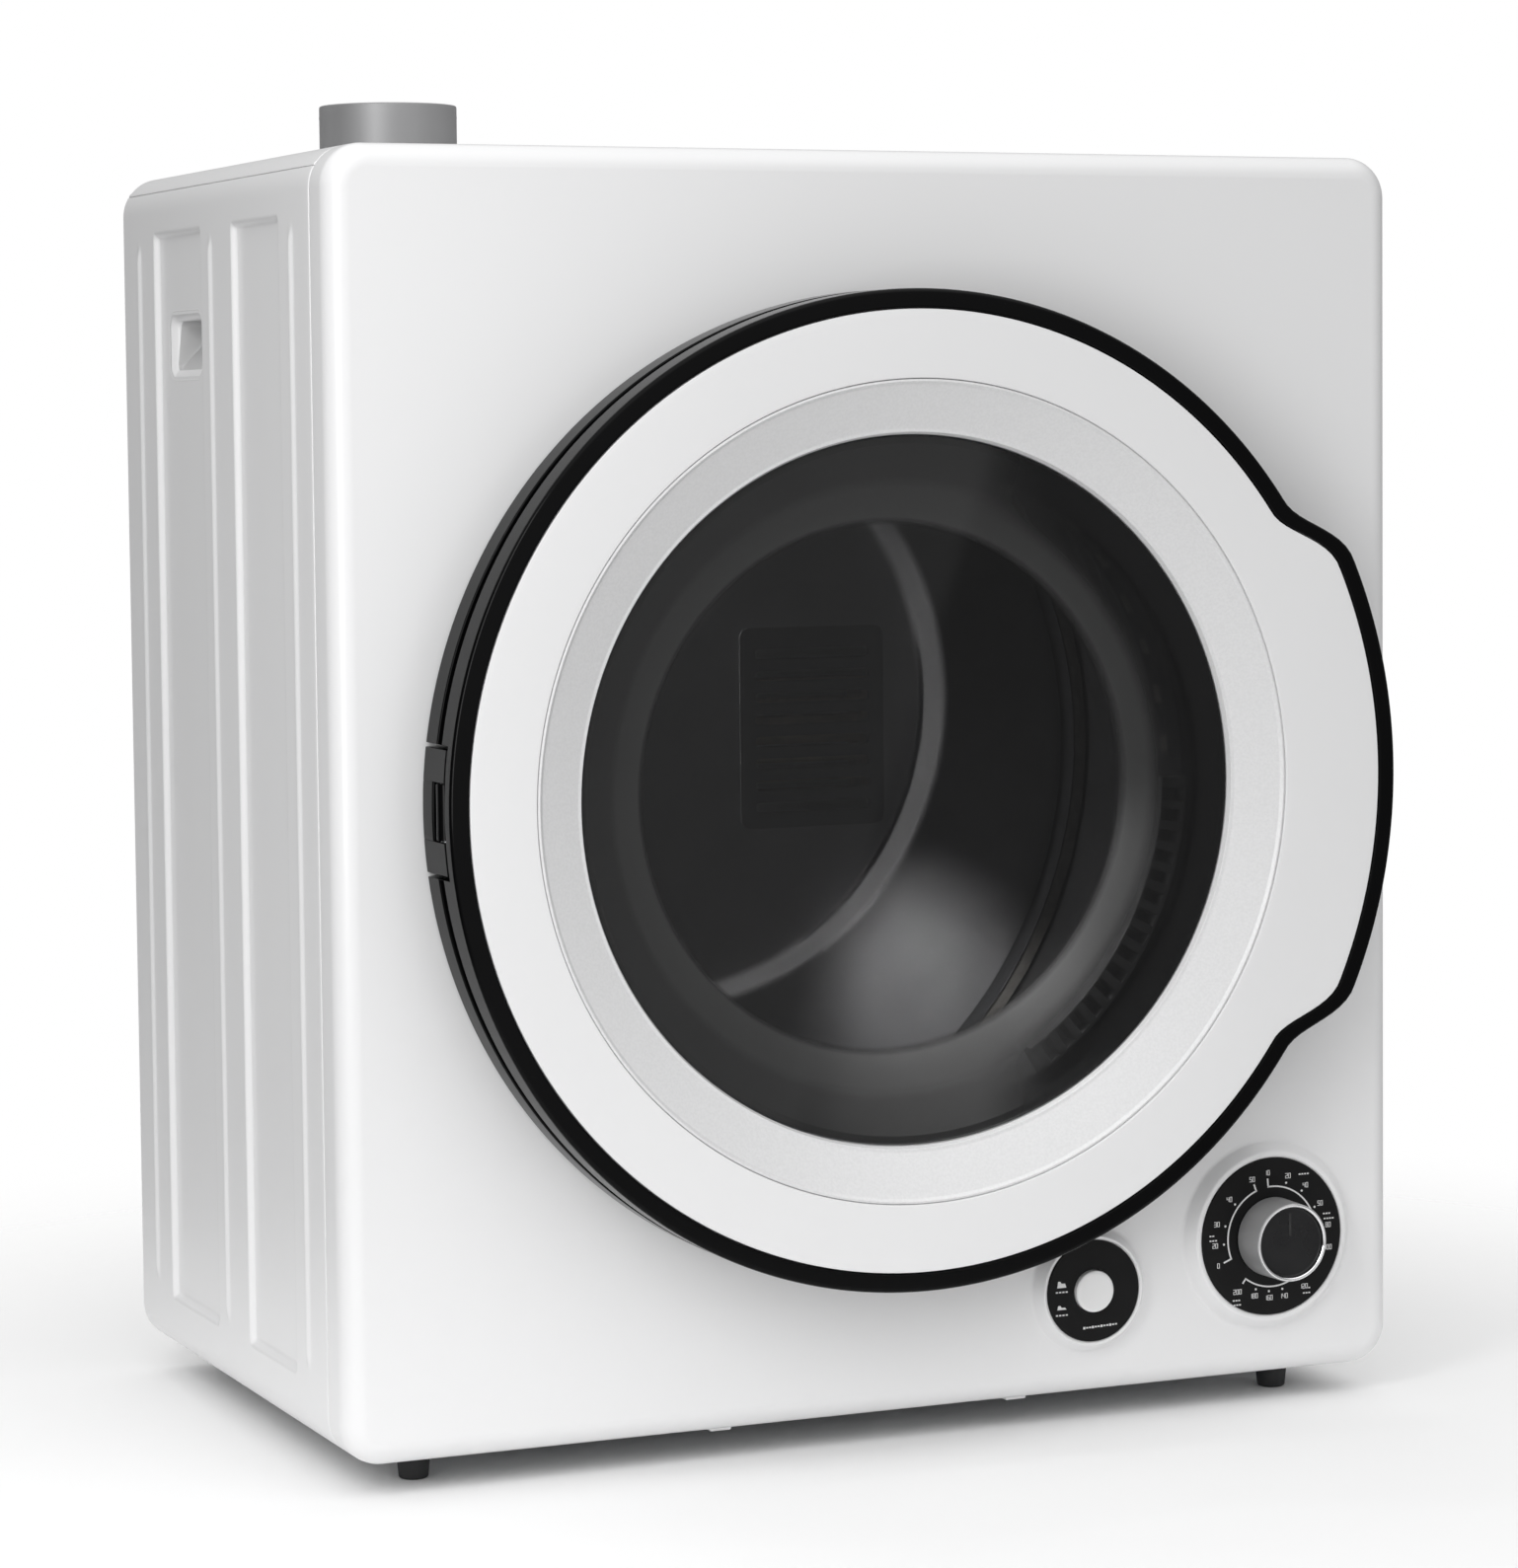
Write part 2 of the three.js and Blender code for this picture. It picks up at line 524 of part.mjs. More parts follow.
node(
  "fan_belt",
  cut(
    alongY(loopOutline([FAN_X, FAN_Z, 33.8], [MOTOR_X, MOTOR_Z, 17.6], 30), PULLEY_Y0 + 0.8, PULLEY_Y1 - 0.8),
    alongY(loopOutline([FAN_X, FAN_Z, 30.8], [MOTOR_X, MOTOR_Z, 14.6], 30), PULLEY_Y0 - 1, PULLEY_Y1 + 1),
  ),
  BLACK,
  0.9,
);
{
  // Fan impeller: back plate, hub, eight blades, shaft and pulley.
  let p = join(cylY(FAN_X, FAN_Z, 70, 343, 345, 24), cylY(FAN_X, FAN_Z, 14, 322, 345, 12), cylY(FAN_X, FAN_Z, 5, 340, 359, 12), cylY(FAN_X, FAN_Z, 30, PULLEY_Y0, PULLEY_Y1, 20));
  for (let k = 0; k < 8; k++) {
    const t = k * 45 * RAD;
    const c = Math.cos(t);
    const s = Math.sin(t);
    const q = (u, w) => [FAN_X + u * c - w * s, FAN_Z + u * s + w * c];
    p = join(p, alongY([q(34, -1), q(69, -9), q(69, -7), q(34, 1)], 316, 344));
  }
  node("fan_impeller", p, DARK, 0.6);
}
["left", "right"].forEach((n, k) => {
  const s = k ? 1 : -1;
  const d = DRUM_R + 0.9 + ROLLER_R;
  node(
    "drum_roller_" + n,
    turned([[5.6, 262], [ROLLER_R, 262], [ROLLER_R, 278], [5.6, 278]], s * d * Math.sin(ROLLER_ANGLE * RAD), AXIS_Z - d * Math.cos(ROLLER_ANGLE * RAD), 20),
    DARK,
    0.8,
  );
});

// ---------------------------------------------------------------- drum
node(
  "drum_shell",
  turned([[MOUTH_R, DRUM_Y0], [DRUM_R, DRUM_Y0], [DRUM_R, DRUM_Y1], [DRUM_R - DRUM_T, DRUM_Y1], [DRUM_R - DRUM_T, DRUM_Y0 + DRUM_T], [MOUTH_R, DRUM_Y0 + DRUM_T]]),
  ZINC,
  0.3,
  0.9,
);
[60, 180, 300].forEach((deg, i) => {
  const t = deg * RAD;
  const d = [Math.cos(t), Math.sin(t)];
  const n = [-d[1], d[0]];
  const q = (r, w) => [r * d[0] + w * n[0], AXIS_Z + r * d[1] + w * n[1]];
  node("drum_lifter_" + (i + 1), alongY([q(256, -24), q(232, -10), q(219, -5), q(216, 0), q(219, 5), q(232, 10), q(256, 24)], 58, 266), GREY, 0.5, 0.2);
});
{
  // Lint filter: rim, hub and eight spokes with a fine screen ring between them.
  let p = turned([[53, 298], [59, 298], [59, 307], [53, 307]], FAN_X, FAN_Z, 24);
  p = join(p, cylY(FAN_X, FAN_Z, 12, 295, 307, 12));
  p = join(p, turned([[31, 301], [34, 301], [34, 304], [31, 304]], FAN_X, FAN_Z, 16));
  for (let k = 0; k < 4; k++) {
    const t = k * 45 * RAD;
    const c = Math.cos(t);
    const s = Math.sin(t);
    const q = (u, w) => [FAN_X + u * c - w * s, FAN_Z + u * s + w * c];
    p = join(p, alongY([q(-54, -1.5), q(54, -1.5), q(54, 1.5), q(-54, 1.5)], 301, 304));
  }
  node("lint_filter", p, DARK, 0.5);
}

// ---------------------------------------------------------------- door
{
  const B = BULGE;
  const front = doorRing([
    [DOOR_R - RIM_W, DOOR_Y, B],
    [DOOR_R - 2, DOOR_Y, B],
    [DOOR_R, DOOR_Y + 2, B],
    [DOOR_R, -17, B],
    [DOOR_R - RIM_W, -17, B],
  ]);
  const rear = doorRing([
    [DOOR_R - RIM_W, -24, 0],
    [DOOR_R, -24, 0],
    [DOOR_R, -4.5, 0],
    [DOOR_R - 1.5, -3, 0],
    [DOOR_R - RIM_W, -3, 0],
  ]);
  const groove = doorRing([
    [DOOR_R - 3, -25, B],
    [DOOR_R + 6, -25, B],
    [DOOR_R + 6, -18.5, B],
    [DOOR_R - 3, -18.5, B],
  ]);
  let p = cut(join(front, rear), groove);
  p = cut(p, box(-275, -230, -35, 5, 299, 367)); // room for the hinge
  node("door_rim", p, BLACK, 0.15);
  node(
    "door_trim_ring",
    doorRing([
      [TRIM_IN_R, DOOR_Y, 0],
      [DOOR_R - RIM_W - 0.4, DOOR_Y, B],
      [DOOR_R - RIM_W - 0.4, DOOR_Y + 3, B],
      [TRIM_IN_R, DOOR_Y + 3, 0],
    ]),
    0xececec,
    0.45,
  );
}
node("door_cone_ring", turned([[213, DOOR_Y], [185, WINDOW_Y], [185, -26], [187, -26], [213, DOOR_Y + 3.5]]), 0xd0d2d4, 0.3, 0.6);
node("door_window", cylY(0, AXIS_Z, WINDOW_R, WINDOW_Y, WINDOW_Y + 3, SEG), 0x1a1b1d, 0.05);
node(
  "door_glass_bowl",
  turned([[0, 7.5], [140.5, 6], [160, -8], [181, -25.7], [184, -25.7], [184, -22.5], [163, -4.5], [142.5, 9.8], [0, 11.2]]),
  0x2a2c2e,
  0.05,
);
node(
  "door_inner_frame",
  cut(
    turned([[186.5, -25.5], [190, -25.5], [190, -12], [248.9, -12], [248.9, -4], [186.5, -4]]),
    box(-270, -244.5, -15, 0, 299, 367),
  ),
  0xc8c9ca,
  0.5,
);
node("door_seal", turned([[209, -3.7], [222, -3.7], [222, -0.6], [209, -0.6]]), DARK, 0.9);
{
  const knuckle = cut(cylZ(HINGE_X, HINGE_Y, 5, 318.6, 347.4, 20), cylZ(HINGE_X, HINGE_Y, 3.4, 310, 356, 16));
  const plate = cut(box(-254, -222, -20, -12.4, 318.6, 347.4), cylZ(HINGE_X, HINGE_Y, 4.5, 310, 356, 16));
  node("hinge_arm", join(knuckle, plate), STEEL, 0.4, 0.8);
  // The fixed half fills the rim's notch, flush with the rim.
  const block = turned([[251, -33], [259.6, -33], [259.6, -3], [251, -3]], 0, AXIS_Z, 120).intersect(box(-270, -240, -40, 0, 303, 363));
  let b = join(block, box(-262, -240, -3.3, -0.4, 303, 363));
  b = cut(b, cylZ(HINGE_X, HINGE_Y, 3.4, 300, 366, 16), cylZ(HINGE_X, HINGE_Y, 9, 318.2, 347.8, 24));
  b = cut(b, box(-262, -230, -36, -11, 318.2, 347.8));
  node("hinge_bracket", b, DARK, 0.4, 0.6);
  node("hinge_pin", cylZ(HINGE_X, HINGE_Y, 3, 303, 363, 16), ZINC, 0.3, 0.9);
}
node("latch_striker", join(box(238, 242, -3.7, 14, 327, 339), box(235.5, 244.5, 10, 14, 327, 339), box(230, 246, -3.7, -1.7, 322, 344)), STEEL, 0.4, 0.8);
node("latch_catch", cut(box(226, 254, 1.9, 21, 312, 354), box(231.5, 249, 0, 18, 319, 347)), BLACK, 0.6);

// ---------------------------------------------------------------- controls
node("dial_plate", cut(cylY(DIAL_X, DIAL_Z, 43.3, -7.2, -6.3, 32), cylY(DIAL_X, DIAL_Z, 4.8, -9, -4, 16)), 0x141416, 0.4);
node("button_plate", cut(cylY(BUTTON_X, BUTTON_Z, 27.5, -7.2, -6.3, 28), cylY(BUTTON_X, BUTTON_Z, 11.9, -9, -4, 24)), 0x141416, 0.4);
{
  // Knob: tapered cup with a dished face, a pointer groove across the face and the shaft behind.
  const s = turned([[0, -27.2], [17.6, -27.2], [19.2, -29.5], [21.25, -29.5], [21.6, -7.6], [3, -7.6], [3, 16], [0, 16]], DIAL_X, DIAL_Z, 28);
  node("timer_knob", cut(s, box(DIAL_X - 0.7, DIAL_X + 0.7, -29, -26.6, DIAL_Z + 4, DIAL_Z + 17)), 0xb8babc, 0.3, 0.8);
}
node("timer_body", cut(box(DIAL_X - 26, DIAL_X + 26, 3, 36, DIAL_Z - 26, DIAL_Z + 26), cylY(DIAL_X, DIAL_Z, 3.5, 0, 20, 16)), 0xd8d8d4, 0.6);
node(
  "heat_button",
  turned([[0, -9.5], [10.3, -9.5], [11.3, -8.5], [11.3, 0], [4, 0], [4, 14], [0, 14]], BUTTON_X, BUTTON_Z, 28),
  0xf2f2f2,
  0.35,
);
node("heat_switch_body", cut(box(BUTTON_X - 15, BUTTON_X + 15, 5, 34, BUTTON_Z - 15, BUTTON_Z + 15), cylY(BUTTON_X, BUTTON_Z, 4.7, 0, 24, 16)), 0xd8d8d4, 0.6);

export default part;
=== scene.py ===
import math
import json

import bpy
import bmesh
import numpy as np
from mathutils import Vector, Matrix
from mathutils.geometry import tessellate_polygon


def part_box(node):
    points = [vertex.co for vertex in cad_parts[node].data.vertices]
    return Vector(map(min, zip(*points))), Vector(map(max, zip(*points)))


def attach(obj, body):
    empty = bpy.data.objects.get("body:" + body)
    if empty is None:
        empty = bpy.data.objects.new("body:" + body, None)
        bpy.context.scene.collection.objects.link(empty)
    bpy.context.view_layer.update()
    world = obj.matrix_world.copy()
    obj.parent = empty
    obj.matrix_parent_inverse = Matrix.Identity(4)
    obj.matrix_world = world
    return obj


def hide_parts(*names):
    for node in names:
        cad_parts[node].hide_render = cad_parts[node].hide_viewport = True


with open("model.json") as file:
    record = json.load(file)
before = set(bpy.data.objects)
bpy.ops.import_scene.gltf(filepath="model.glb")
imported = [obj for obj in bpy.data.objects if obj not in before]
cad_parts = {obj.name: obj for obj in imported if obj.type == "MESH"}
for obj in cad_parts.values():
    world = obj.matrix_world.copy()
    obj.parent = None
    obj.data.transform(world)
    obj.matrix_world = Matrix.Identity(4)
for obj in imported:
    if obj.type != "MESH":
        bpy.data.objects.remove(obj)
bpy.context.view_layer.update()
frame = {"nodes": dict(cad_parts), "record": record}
RAD = math.pi / 180

# ------------------------------------------------------------------ the cabinet frame, read from the CAD
# x from the cabinet's centre line, y from its front face, z from its underside, in millimetres.
_side_lo, _side_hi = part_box("left_side_panel")
_cab_lo, _cab_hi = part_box("front_panel")
X0 = (_cab_lo.x + _cab_hi.x) / 2
Y0 = _side_lo.y - 0.0288
Z0 = _side_lo.z
W = round((_cab_hi.x - _cab_lo.x) * 1000)  # 610
H = round((_cab_hi.z - Z0) * 1000)  # 666
D = round((_side_hi.y - Y0) * 1000)  # 368


def mm(node):
    """A CAD node's box in the cabinet frame, in millimetres."""
    lo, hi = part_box(node)
    f = lambda p: ((p.x - X0) * 1000, (p.y - Y0) * 1000, (p.z - Z0) * 1000)
    return f(lo), f(hi)


def centre(node):
    lo, hi = mm(node)
    return tuple((a + b) / 2 for a, b in zip(lo, hi))


AX = centre("drum_shell")[2]  # height of the drum and door axis
DIAL = centre("dial_plate")
BTN = centre("button_plate")
PIPE = centre("exhaust_pipe")
PIPE_TOP = mm("exhaust_pipe")[1][2]
DOOR_Y = mm("door_rim")[0][1]
FAN = centre("lint_filter")

# ------------------------------------------------------------------ mesh helpers


def fillet(pts, seg=5, closed=True):
    """Points (a, b, radius): each corner with a radius becomes an arc."""
    out = []
    n = len(pts)
    for i in range(n):
        a, b = pts[i][0], pts[i][1]
        r = pts[i][2] if len(pts[i]) > 2 else 0
        if r <= 0 or (not closed and i in (0, n - 1)):
            out.append((a, b))
            continue
        p = np.array([a, b], float)
        p0 = np.array(pts[i - 1][:2], float)
        p1 = np.array(pts[(i + 1) % n][:2], float)
        u, v = p0 - p, p1 - p
        lu, lv = np.linalg.norm(u), np.linalg.norm(v)
        u, v = u / lu, v / lv
        ang = math.acos(max(-1, min(1, float(u @ v))))
        if ang > math.pi - 0.02:
            out.append((a, b))
            continue
        t = min(r / math.tan(ang / 2), lu * 0.49, lv * 0.49)
        rr = t * math.tan(ang / 2)
        c = p + (u + v) / np.linalg.norm(u + v) * (rr / math.sin(ang / 2))
        s, e = p + u * t - c, p + v * t - c
        a0, a1 = math.atan2(s[1], s[0]), math.atan2(e[1], e[0])
        d = (a1 - a0 + math.pi) % (2 * math.pi) - math.pi
        for k in range(seg + 1):
            q = a0 + d * k / seg
            out.append((c[0] + rr * math.cos(q), c[1] + rr * math.sin(q)))
    return out


def rrect(a0, a1, b0, b1, r, seg=8):
    out = []
    for ca, cb, s in ((a1 - r, b0 + r, -90), (a1 - r, b1 - r, 0), (a0 + r, b1 - r, 90), (a0 + r, b0 + r, 180)):
        for i in range(seg + 1):
            t = (s + 90 * i / seg) * RAD
            out.append((ca + r * math.cos(t), cb + r * math.sin(t)))
    return out


class Mesh:
    """Collects quads and triangles in cabinet millimetres."""

    def __init__(self):
        self.v, self.f, self.mi = [], [], []
        self.slot = 0

    def add(self, verts, faces):
        o = len(self.v)
        self.v += [tuple(p) for p in verts]
        self.f += [tuple(i + o for i in f) for f in faces]
        self.mi += [self.slot] * len(faces)
        return self

    def rings(self, rings, closed=True, wrap=False, caps=False):
        n = len(rings[0])
        verts = [p for r in rings for p in r]
        faces = []
        m = len(rings)
        for k in range(m if wrap else m - 1):
            k2 = (k + 1) % m
            for i in range(n if closed else n - 1):
                j = (i + 1) % n
                faces.append((k * n + i, k * n + j, k2 * n + j, k2 * n + i))
        if caps:
            faces.append(tuple(range(n)))
            faces.append(tuple(reversed(range((m - 1) * n, m * n))))
        return self.add(verts, faces)

    def lathe(self, profile, cx=0.0, cz=None, n=128, closed=True, axis="y", cy=0.0):
        """profile of (radius, along). closed joins its last point to its first."""
        cz = AX if cz is None else cz
        rings = []
        for i in range(n):
            t = 2 * math.pi * i / n
            c, s = math.cos(t), math.sin(t)
            if axis == "y":
                rings.append([(cx + r * c, y, cz + r * s) for r, y in profile])
            elif axis == "z":
                rings.append([(cx + r * c, cy + r * s, y) for r, y in profile])
            else:
                rings.append([(y, cy + r * c, cz + r * s) for r, y in profile])
        return self.rings(rings, closed=closed, wrap=True)

    def sheet(self, outer, holes, y=None, z=None):
        """A flat face in X and Z at y, or in X and Y at z, with holes."""
        loops = [outer] + holes
        p3 = [[Vector((a, b, 0)) for a, b in lp] for lp in loops]
        flat = [p for lp in loops for p in lp]
        tris = tessellate_polygon(p3)
        verts = [((a, y, b) if y is not None else (a, b, z)) for a, b in flat]
        return self.add(verts, [tuple(t) for t in tris])

    def box(self, x0, x1, y0, y1, z0, z1):
        v = [(x, y, z) for x in (x0, x1) for y in (y0, y1) for z in (z0, z1)]
        f = [(0, 1, 3, 2), (4, 6, 7, 5), (0, 4, 5, 1), (2, 3, 7, 6), (0, 2, 6, 4), (1, 5, 7, 3)]
        return self.add(v, f)

    def prism(self, outline, y0, y1, bevel=0.0, seg=2):
        """Outline in X and Z from y0 to y1, its edges rounded by moving the outline inwards."""
        o = np.array(outline, float)
        area = 0.5 * float(np.sum(o[:, 0] * np.roll(o[:, 1], -1) - np.roll(o[:, 0], -1) * o[:, 1]))
        if area < 0:
            o = o[::-1]
        e = np.roll(o, -1, 0) - o
        nrm = np.stack([e[:, 1], -e[:, 0]], 1)
        nrm /= np.maximum(np.linalg.norm(nrm, axis=1, keepdims=True), 1e-9)
        vn = nrm + np.roll(nrm, 1, 0)
        vn /= np.maximum(np.linalg.norm(vn, axis=1, keepdims=True), 1e-9)
        k = 1 / np.maximum((vn * nrm).sum(1, keepdims=True), 0.4)
        rings = []
        if bevel > 0:
            for i in range(seg + 1):
                t = math.pi / 2 * i / seg
                rings.append((bevel * (1 - math.sin(t)), y0 + bevel * (1 - math.cos(t))))
            for i in range(seg + 1):
                t = math.pi / 2 * (1 - i / seg)
                rings.append((bevel * (1 - math.sin(t)), y1 - bevel * (1 - math.cos(t))))
        else:
            rings = [(0, y0), (0, y1)]
        self.rings([[(p[0], y, p[1]) for p in (o - vn * k * d)] for d, y in rings], caps=True)
        return self

    def build(self, name, mats, body, replaces=(), slot=None, angle=35, solidify=0.0, solid_offset=-1.0, bevel=0.0, weighted=True, subsurf=0, merge=1e-6, recalc=True):
        me = bpy.data.meshes.new(name)
        v = [((x / 1000) + X0, (y / 1000) + Y0, (z / 1000) + Z0) for x, y, z in self.v]
        me.from_pydata(v, [], self.f)
        mats = mats if isinstance(mats, (list, tuple)) else [mats]
        for m in mats:
            me.materials.append(m)
        me.polygons.foreach_set("material_index", self.mi)
        bm = bmesh.new()
        bm.from_mesh(me)
        bmesh.ops.remove_doubles(bm, verts=bm.verts, dist=merge)
        bmesh.ops.dissolve_degenerate(bm, dist=1e-7, edges=bm.edges)
        if recalc:
            bmesh.ops.recalc_face_normals(bm, faces=bm.faces)
        bm.to_mesh(me)
        bm.free()
        me.polygons.foreach_set("use_smooth", [True] * len(me.polygons))
        ob = bpy.data.objects.new(name, me)
        bpy.context.scene.collection.objects.link(ob)
        if solidify:
            m = ob.modifiers.new("thickness", "SOLIDIFY")
            m.thickness, m.offset = solidify / 1000, solid_offset
            m.use_even_offset = True
        if bevel:
            m = ob.modifiers.new("edges", "BEVEL")
            m.width, m.segments, m.limit_method = bevel / 1000, 3, "ANGLE"
            m.angle_limit = 40 * RAD
            m.use_clamp_overlap = True
        if subsurf:
            m = ob.modifiers.new("surface", "SUBSURF")
            m.levels = m.render_levels = subsurf
        me.set_sharp_from_angle(angle=angle * RAD)
        if weighted:
            m = ob.modifiers.new("normals", "WEIGHTED_NORMAL")
            m.keep_sharp = True
        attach(ob, body)
        if replaces:
            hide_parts(*replaces)
        return ob


# ------------------------------------------------------------------ materials
def principled(name, base, rough=0.4, metal=0.0, **k):
    """A Principled material whose colour, roughness and bump come from procedural noise in object space.
    vary: colour variation; rvary: roughness variation; scale: size of the noise per metre; bump: (scale, height in mm);
    stretch: (x, y, z) scale of the space for brushed or drawn metal."""
    m = bpy.data.materials.new(name)
    m.use_nodes = True
    nt = m.node_tree
    b = nt.nodes["Principled BSDF"]
    L = nt.links.new
    tc = nt.nodes.new("ShaderNodeTexCoord")
    mp = nt.nodes.new("ShaderNodeMapping")
    mp.inputs["Scale"].default_value = k.get("stretch", (1, 1, 1))
    L(tc.outputs["Object"], mp.inputs["Vector"])
    n1 = nt.nodes.new("ShaderNodeTexNoise")
    n1.inputs["Scale"].default_value = k.get("scale", 12)
    n1.inputs["Detail"].default_value = 6
    L(mp.outputs["Vector"], n1.inputs["Vector"])
    ramp = nt.nodes.new("ShaderNodeValToRGB")
    vary = k.get("vary", 0.03)
    base = np.array(base, float)
    dark = k.get("dark")
    c0 = np.array(dark, float) if dark is not None else base * (1 - vary)
    c1 = np.minimum(base * (1 + vary), 1.0)
    ramp.color_ramp.elements[0].position = 0.35
    ramp.color_ramp.elements[1].position = 0.65
    ramp.color_ramp.elements[0].color = (*c0, 1)
    ramp.color_ramp.elements[1].color = (*c1, 1)
    L(n1.outputs["Fac"], ramp.inputs["Fac"])
    L(ramp.outputs["Color"], b.inputs["Base Color"])
    n2 = nt.nodes.new("ShaderNodeTexNoise")
    n2.inputs["Scale"].default_value = k.get("rscale", 60)
    n2.inputs["Detail"].default_value = 4
    L(mp.outputs["Vector"], n2.inputs["Vector"])
    mr = nt.nodes.new("ShaderNodeMapRange")
    rv = k.get("rvary", 0.05)
    mr.inputs["To Min"].default_value = max(rough - rv, 0.0)
    mr.inputs["To Max"].default_value = min(rough + rv, 1.0)
    L(n2.outputs["Fac"], mr.inputs["Value"])
    L(mr.outputs["Result"], b.inputs["Roughness"])
    bs, bh = k.get("bump", (400, 0.02))
    if bh:
        n3 = nt.nodes.new("ShaderNodeTexNoise")
        n3.inputs["Scale"].default_value = bs
        n3.inputs["Detail"].default_value = 3
        L(mp.outputs["Vector"], n3.inputs["Vector"])
        bp = nt.nodes.new("ShaderNodeBump")
        bp.inputs["Strength"].default_value = k.get("bstrength", 0.3)
        bp.inputs["Distance"].default_value = bh / 1000
        L(n3.outputs["Fac"], bp.inputs["Height"])
        L(bp.outputs["Normal"], b.inputs["Normal"])
    b.inputs["Metallic"].default_value = metal
    for key, sock in (("coat", "Coat Weight"), ("coat_rough", "Coat Roughness"), ("spec", "Specular IOR Level"), ("ior", "IOR"), ("alpha", "Alpha"), ("aniso", "Anisotropic"), ("sheen", "Sheen Weight")):
        if key in k:
            b.inputs[sock].default_value = k[key]
    return m


MAT = {
    "white_enamel": principled("enamel_white", (0.84, 0.84, 0.845), 0.33, vary=0.006, scale=3, rvary=0.03, bump=(520, 0.012), bstrength=0.12, coat=0.25, coat_rough=0.12),
    "dark_plastic": principled("plastic_dark", (0.035, 0.035, 0.037), 0.5, vary=0.12, scale=30, bump=(1500, 0.03), bstrength=0.3),
    "zinc_steel": principled("zinc_steel", (0.55, 0.56, 0.57), 0.36, 0.9, vary=0.09, scale=45, rvary=0.08, bump=(300, 0.01), bstrength=0.15),
    "black_rubber": principled("rubber_black", (0.022, 0.022, 0.023), 0.7, vary=0.15, scale=40, rvary=0.08, bump=(1200, 0.05), bstrength=0.4),
    "bulkhead_grey": principled("bulkhead_grey", (0.075, 0.075, 0.08), 0.42, vary=0.06, scale=20, bump=(800, 0.02), bstrength=0.2),
    "felt": principled("felt", (0.2, 0.19, 0.175), 0.95, vary=0.25, scale=260, rvary=0.03, bump=(1400, 0.3), bstrength=0.8, sheen=0.3),
    "exhaust_metal": principled("exhaust_metal", (0.35, 0.35, 0.355), 0.5, 0.5, vary=0.05, scale=30, rvary=0.05, bump=(220, 0.02), bstrength=0.2, stretch=(1, 1, 0.12)),
    "heater_ceramic": principled("heater_ceramic", (0.42, 0.33, 0.22), 0.8, vary=0.2, scale=90, bump=(900, 0.1)),
    "motor_paint": principled("motor_paint", (0.12, 0.125, 0.13), 0.45, 0.3, vary=0.08, scale=40),
    "dial_black": principled("dial_black", (0.006, 0.006, 0.0062), 0.4, spec=0.16, vary=0.15, scale=60, rvary=0.05, bump=(2600, 0.02), bstrength=0.25),
    "switch_plastic": principled("switch_plastic", (0.7, 0.69, 0.65), 0.5, vary=0.03, scale=60),
    "rim_black": principled("rim_black", (0.002, 0.002, 0.0022), 0.14, vary=0.1, scale=20, rvary=0.02, bump=(90, 0.01), bstrength=0.05, spec=0.1),
    "trim_white": principled("trim_white", (0.82, 0.82, 0.825), 0.4, vary=0.006, scale=5, rvary=0.03, bump=(900, 0.01), bstrength=0.12),
    "cone_silver": principled("cone_silver", (0.76, 0.76, 0.765), 0.38, 0.1, vary=0.03, scale=700, rvary=0.04, bump=(1800, 0.01), bstrength=0.15),
    "window_glass": principled("window_glass", (0.004, 0.004, 0.0042), 0.015, vary=0.02, scale=8, rvary=0.005, bump=(6, 0.0), alpha=0.5, ior=1.55, spec=0.36),
    "bowl_glass": principled("bowl_glass", (0.05, 0.05, 0.052), 0.12, vary=0.05, scale=8, rvary=0.02, bump=(5, 0.02), bstrength=0.05, alpha=0.22, ior=1.5),
    "frame_plastic": principled("frame_plastic", (0.5, 0.5, 0.505), 0.45, vary=0.02, scale=30, bump=(1500, 0.02), bstrength=0.2),
    "knob_silver": principled("knob_silver", (0.5, 0.5, 0.505), 0.36, 0.55, vary=0.05, scale=80, rvary=0.06, bump=(500, 0.01), bstrength=0.12, stretch=(1, 0.06, 1)),
    "button_white": principled("button_white", (0.85, 0.85, 0.85), 0.3, vary=0.006, scale=20, rvary=0.02, bump=(900, 0.01), bstrength=0.1, coat=0.3),
}


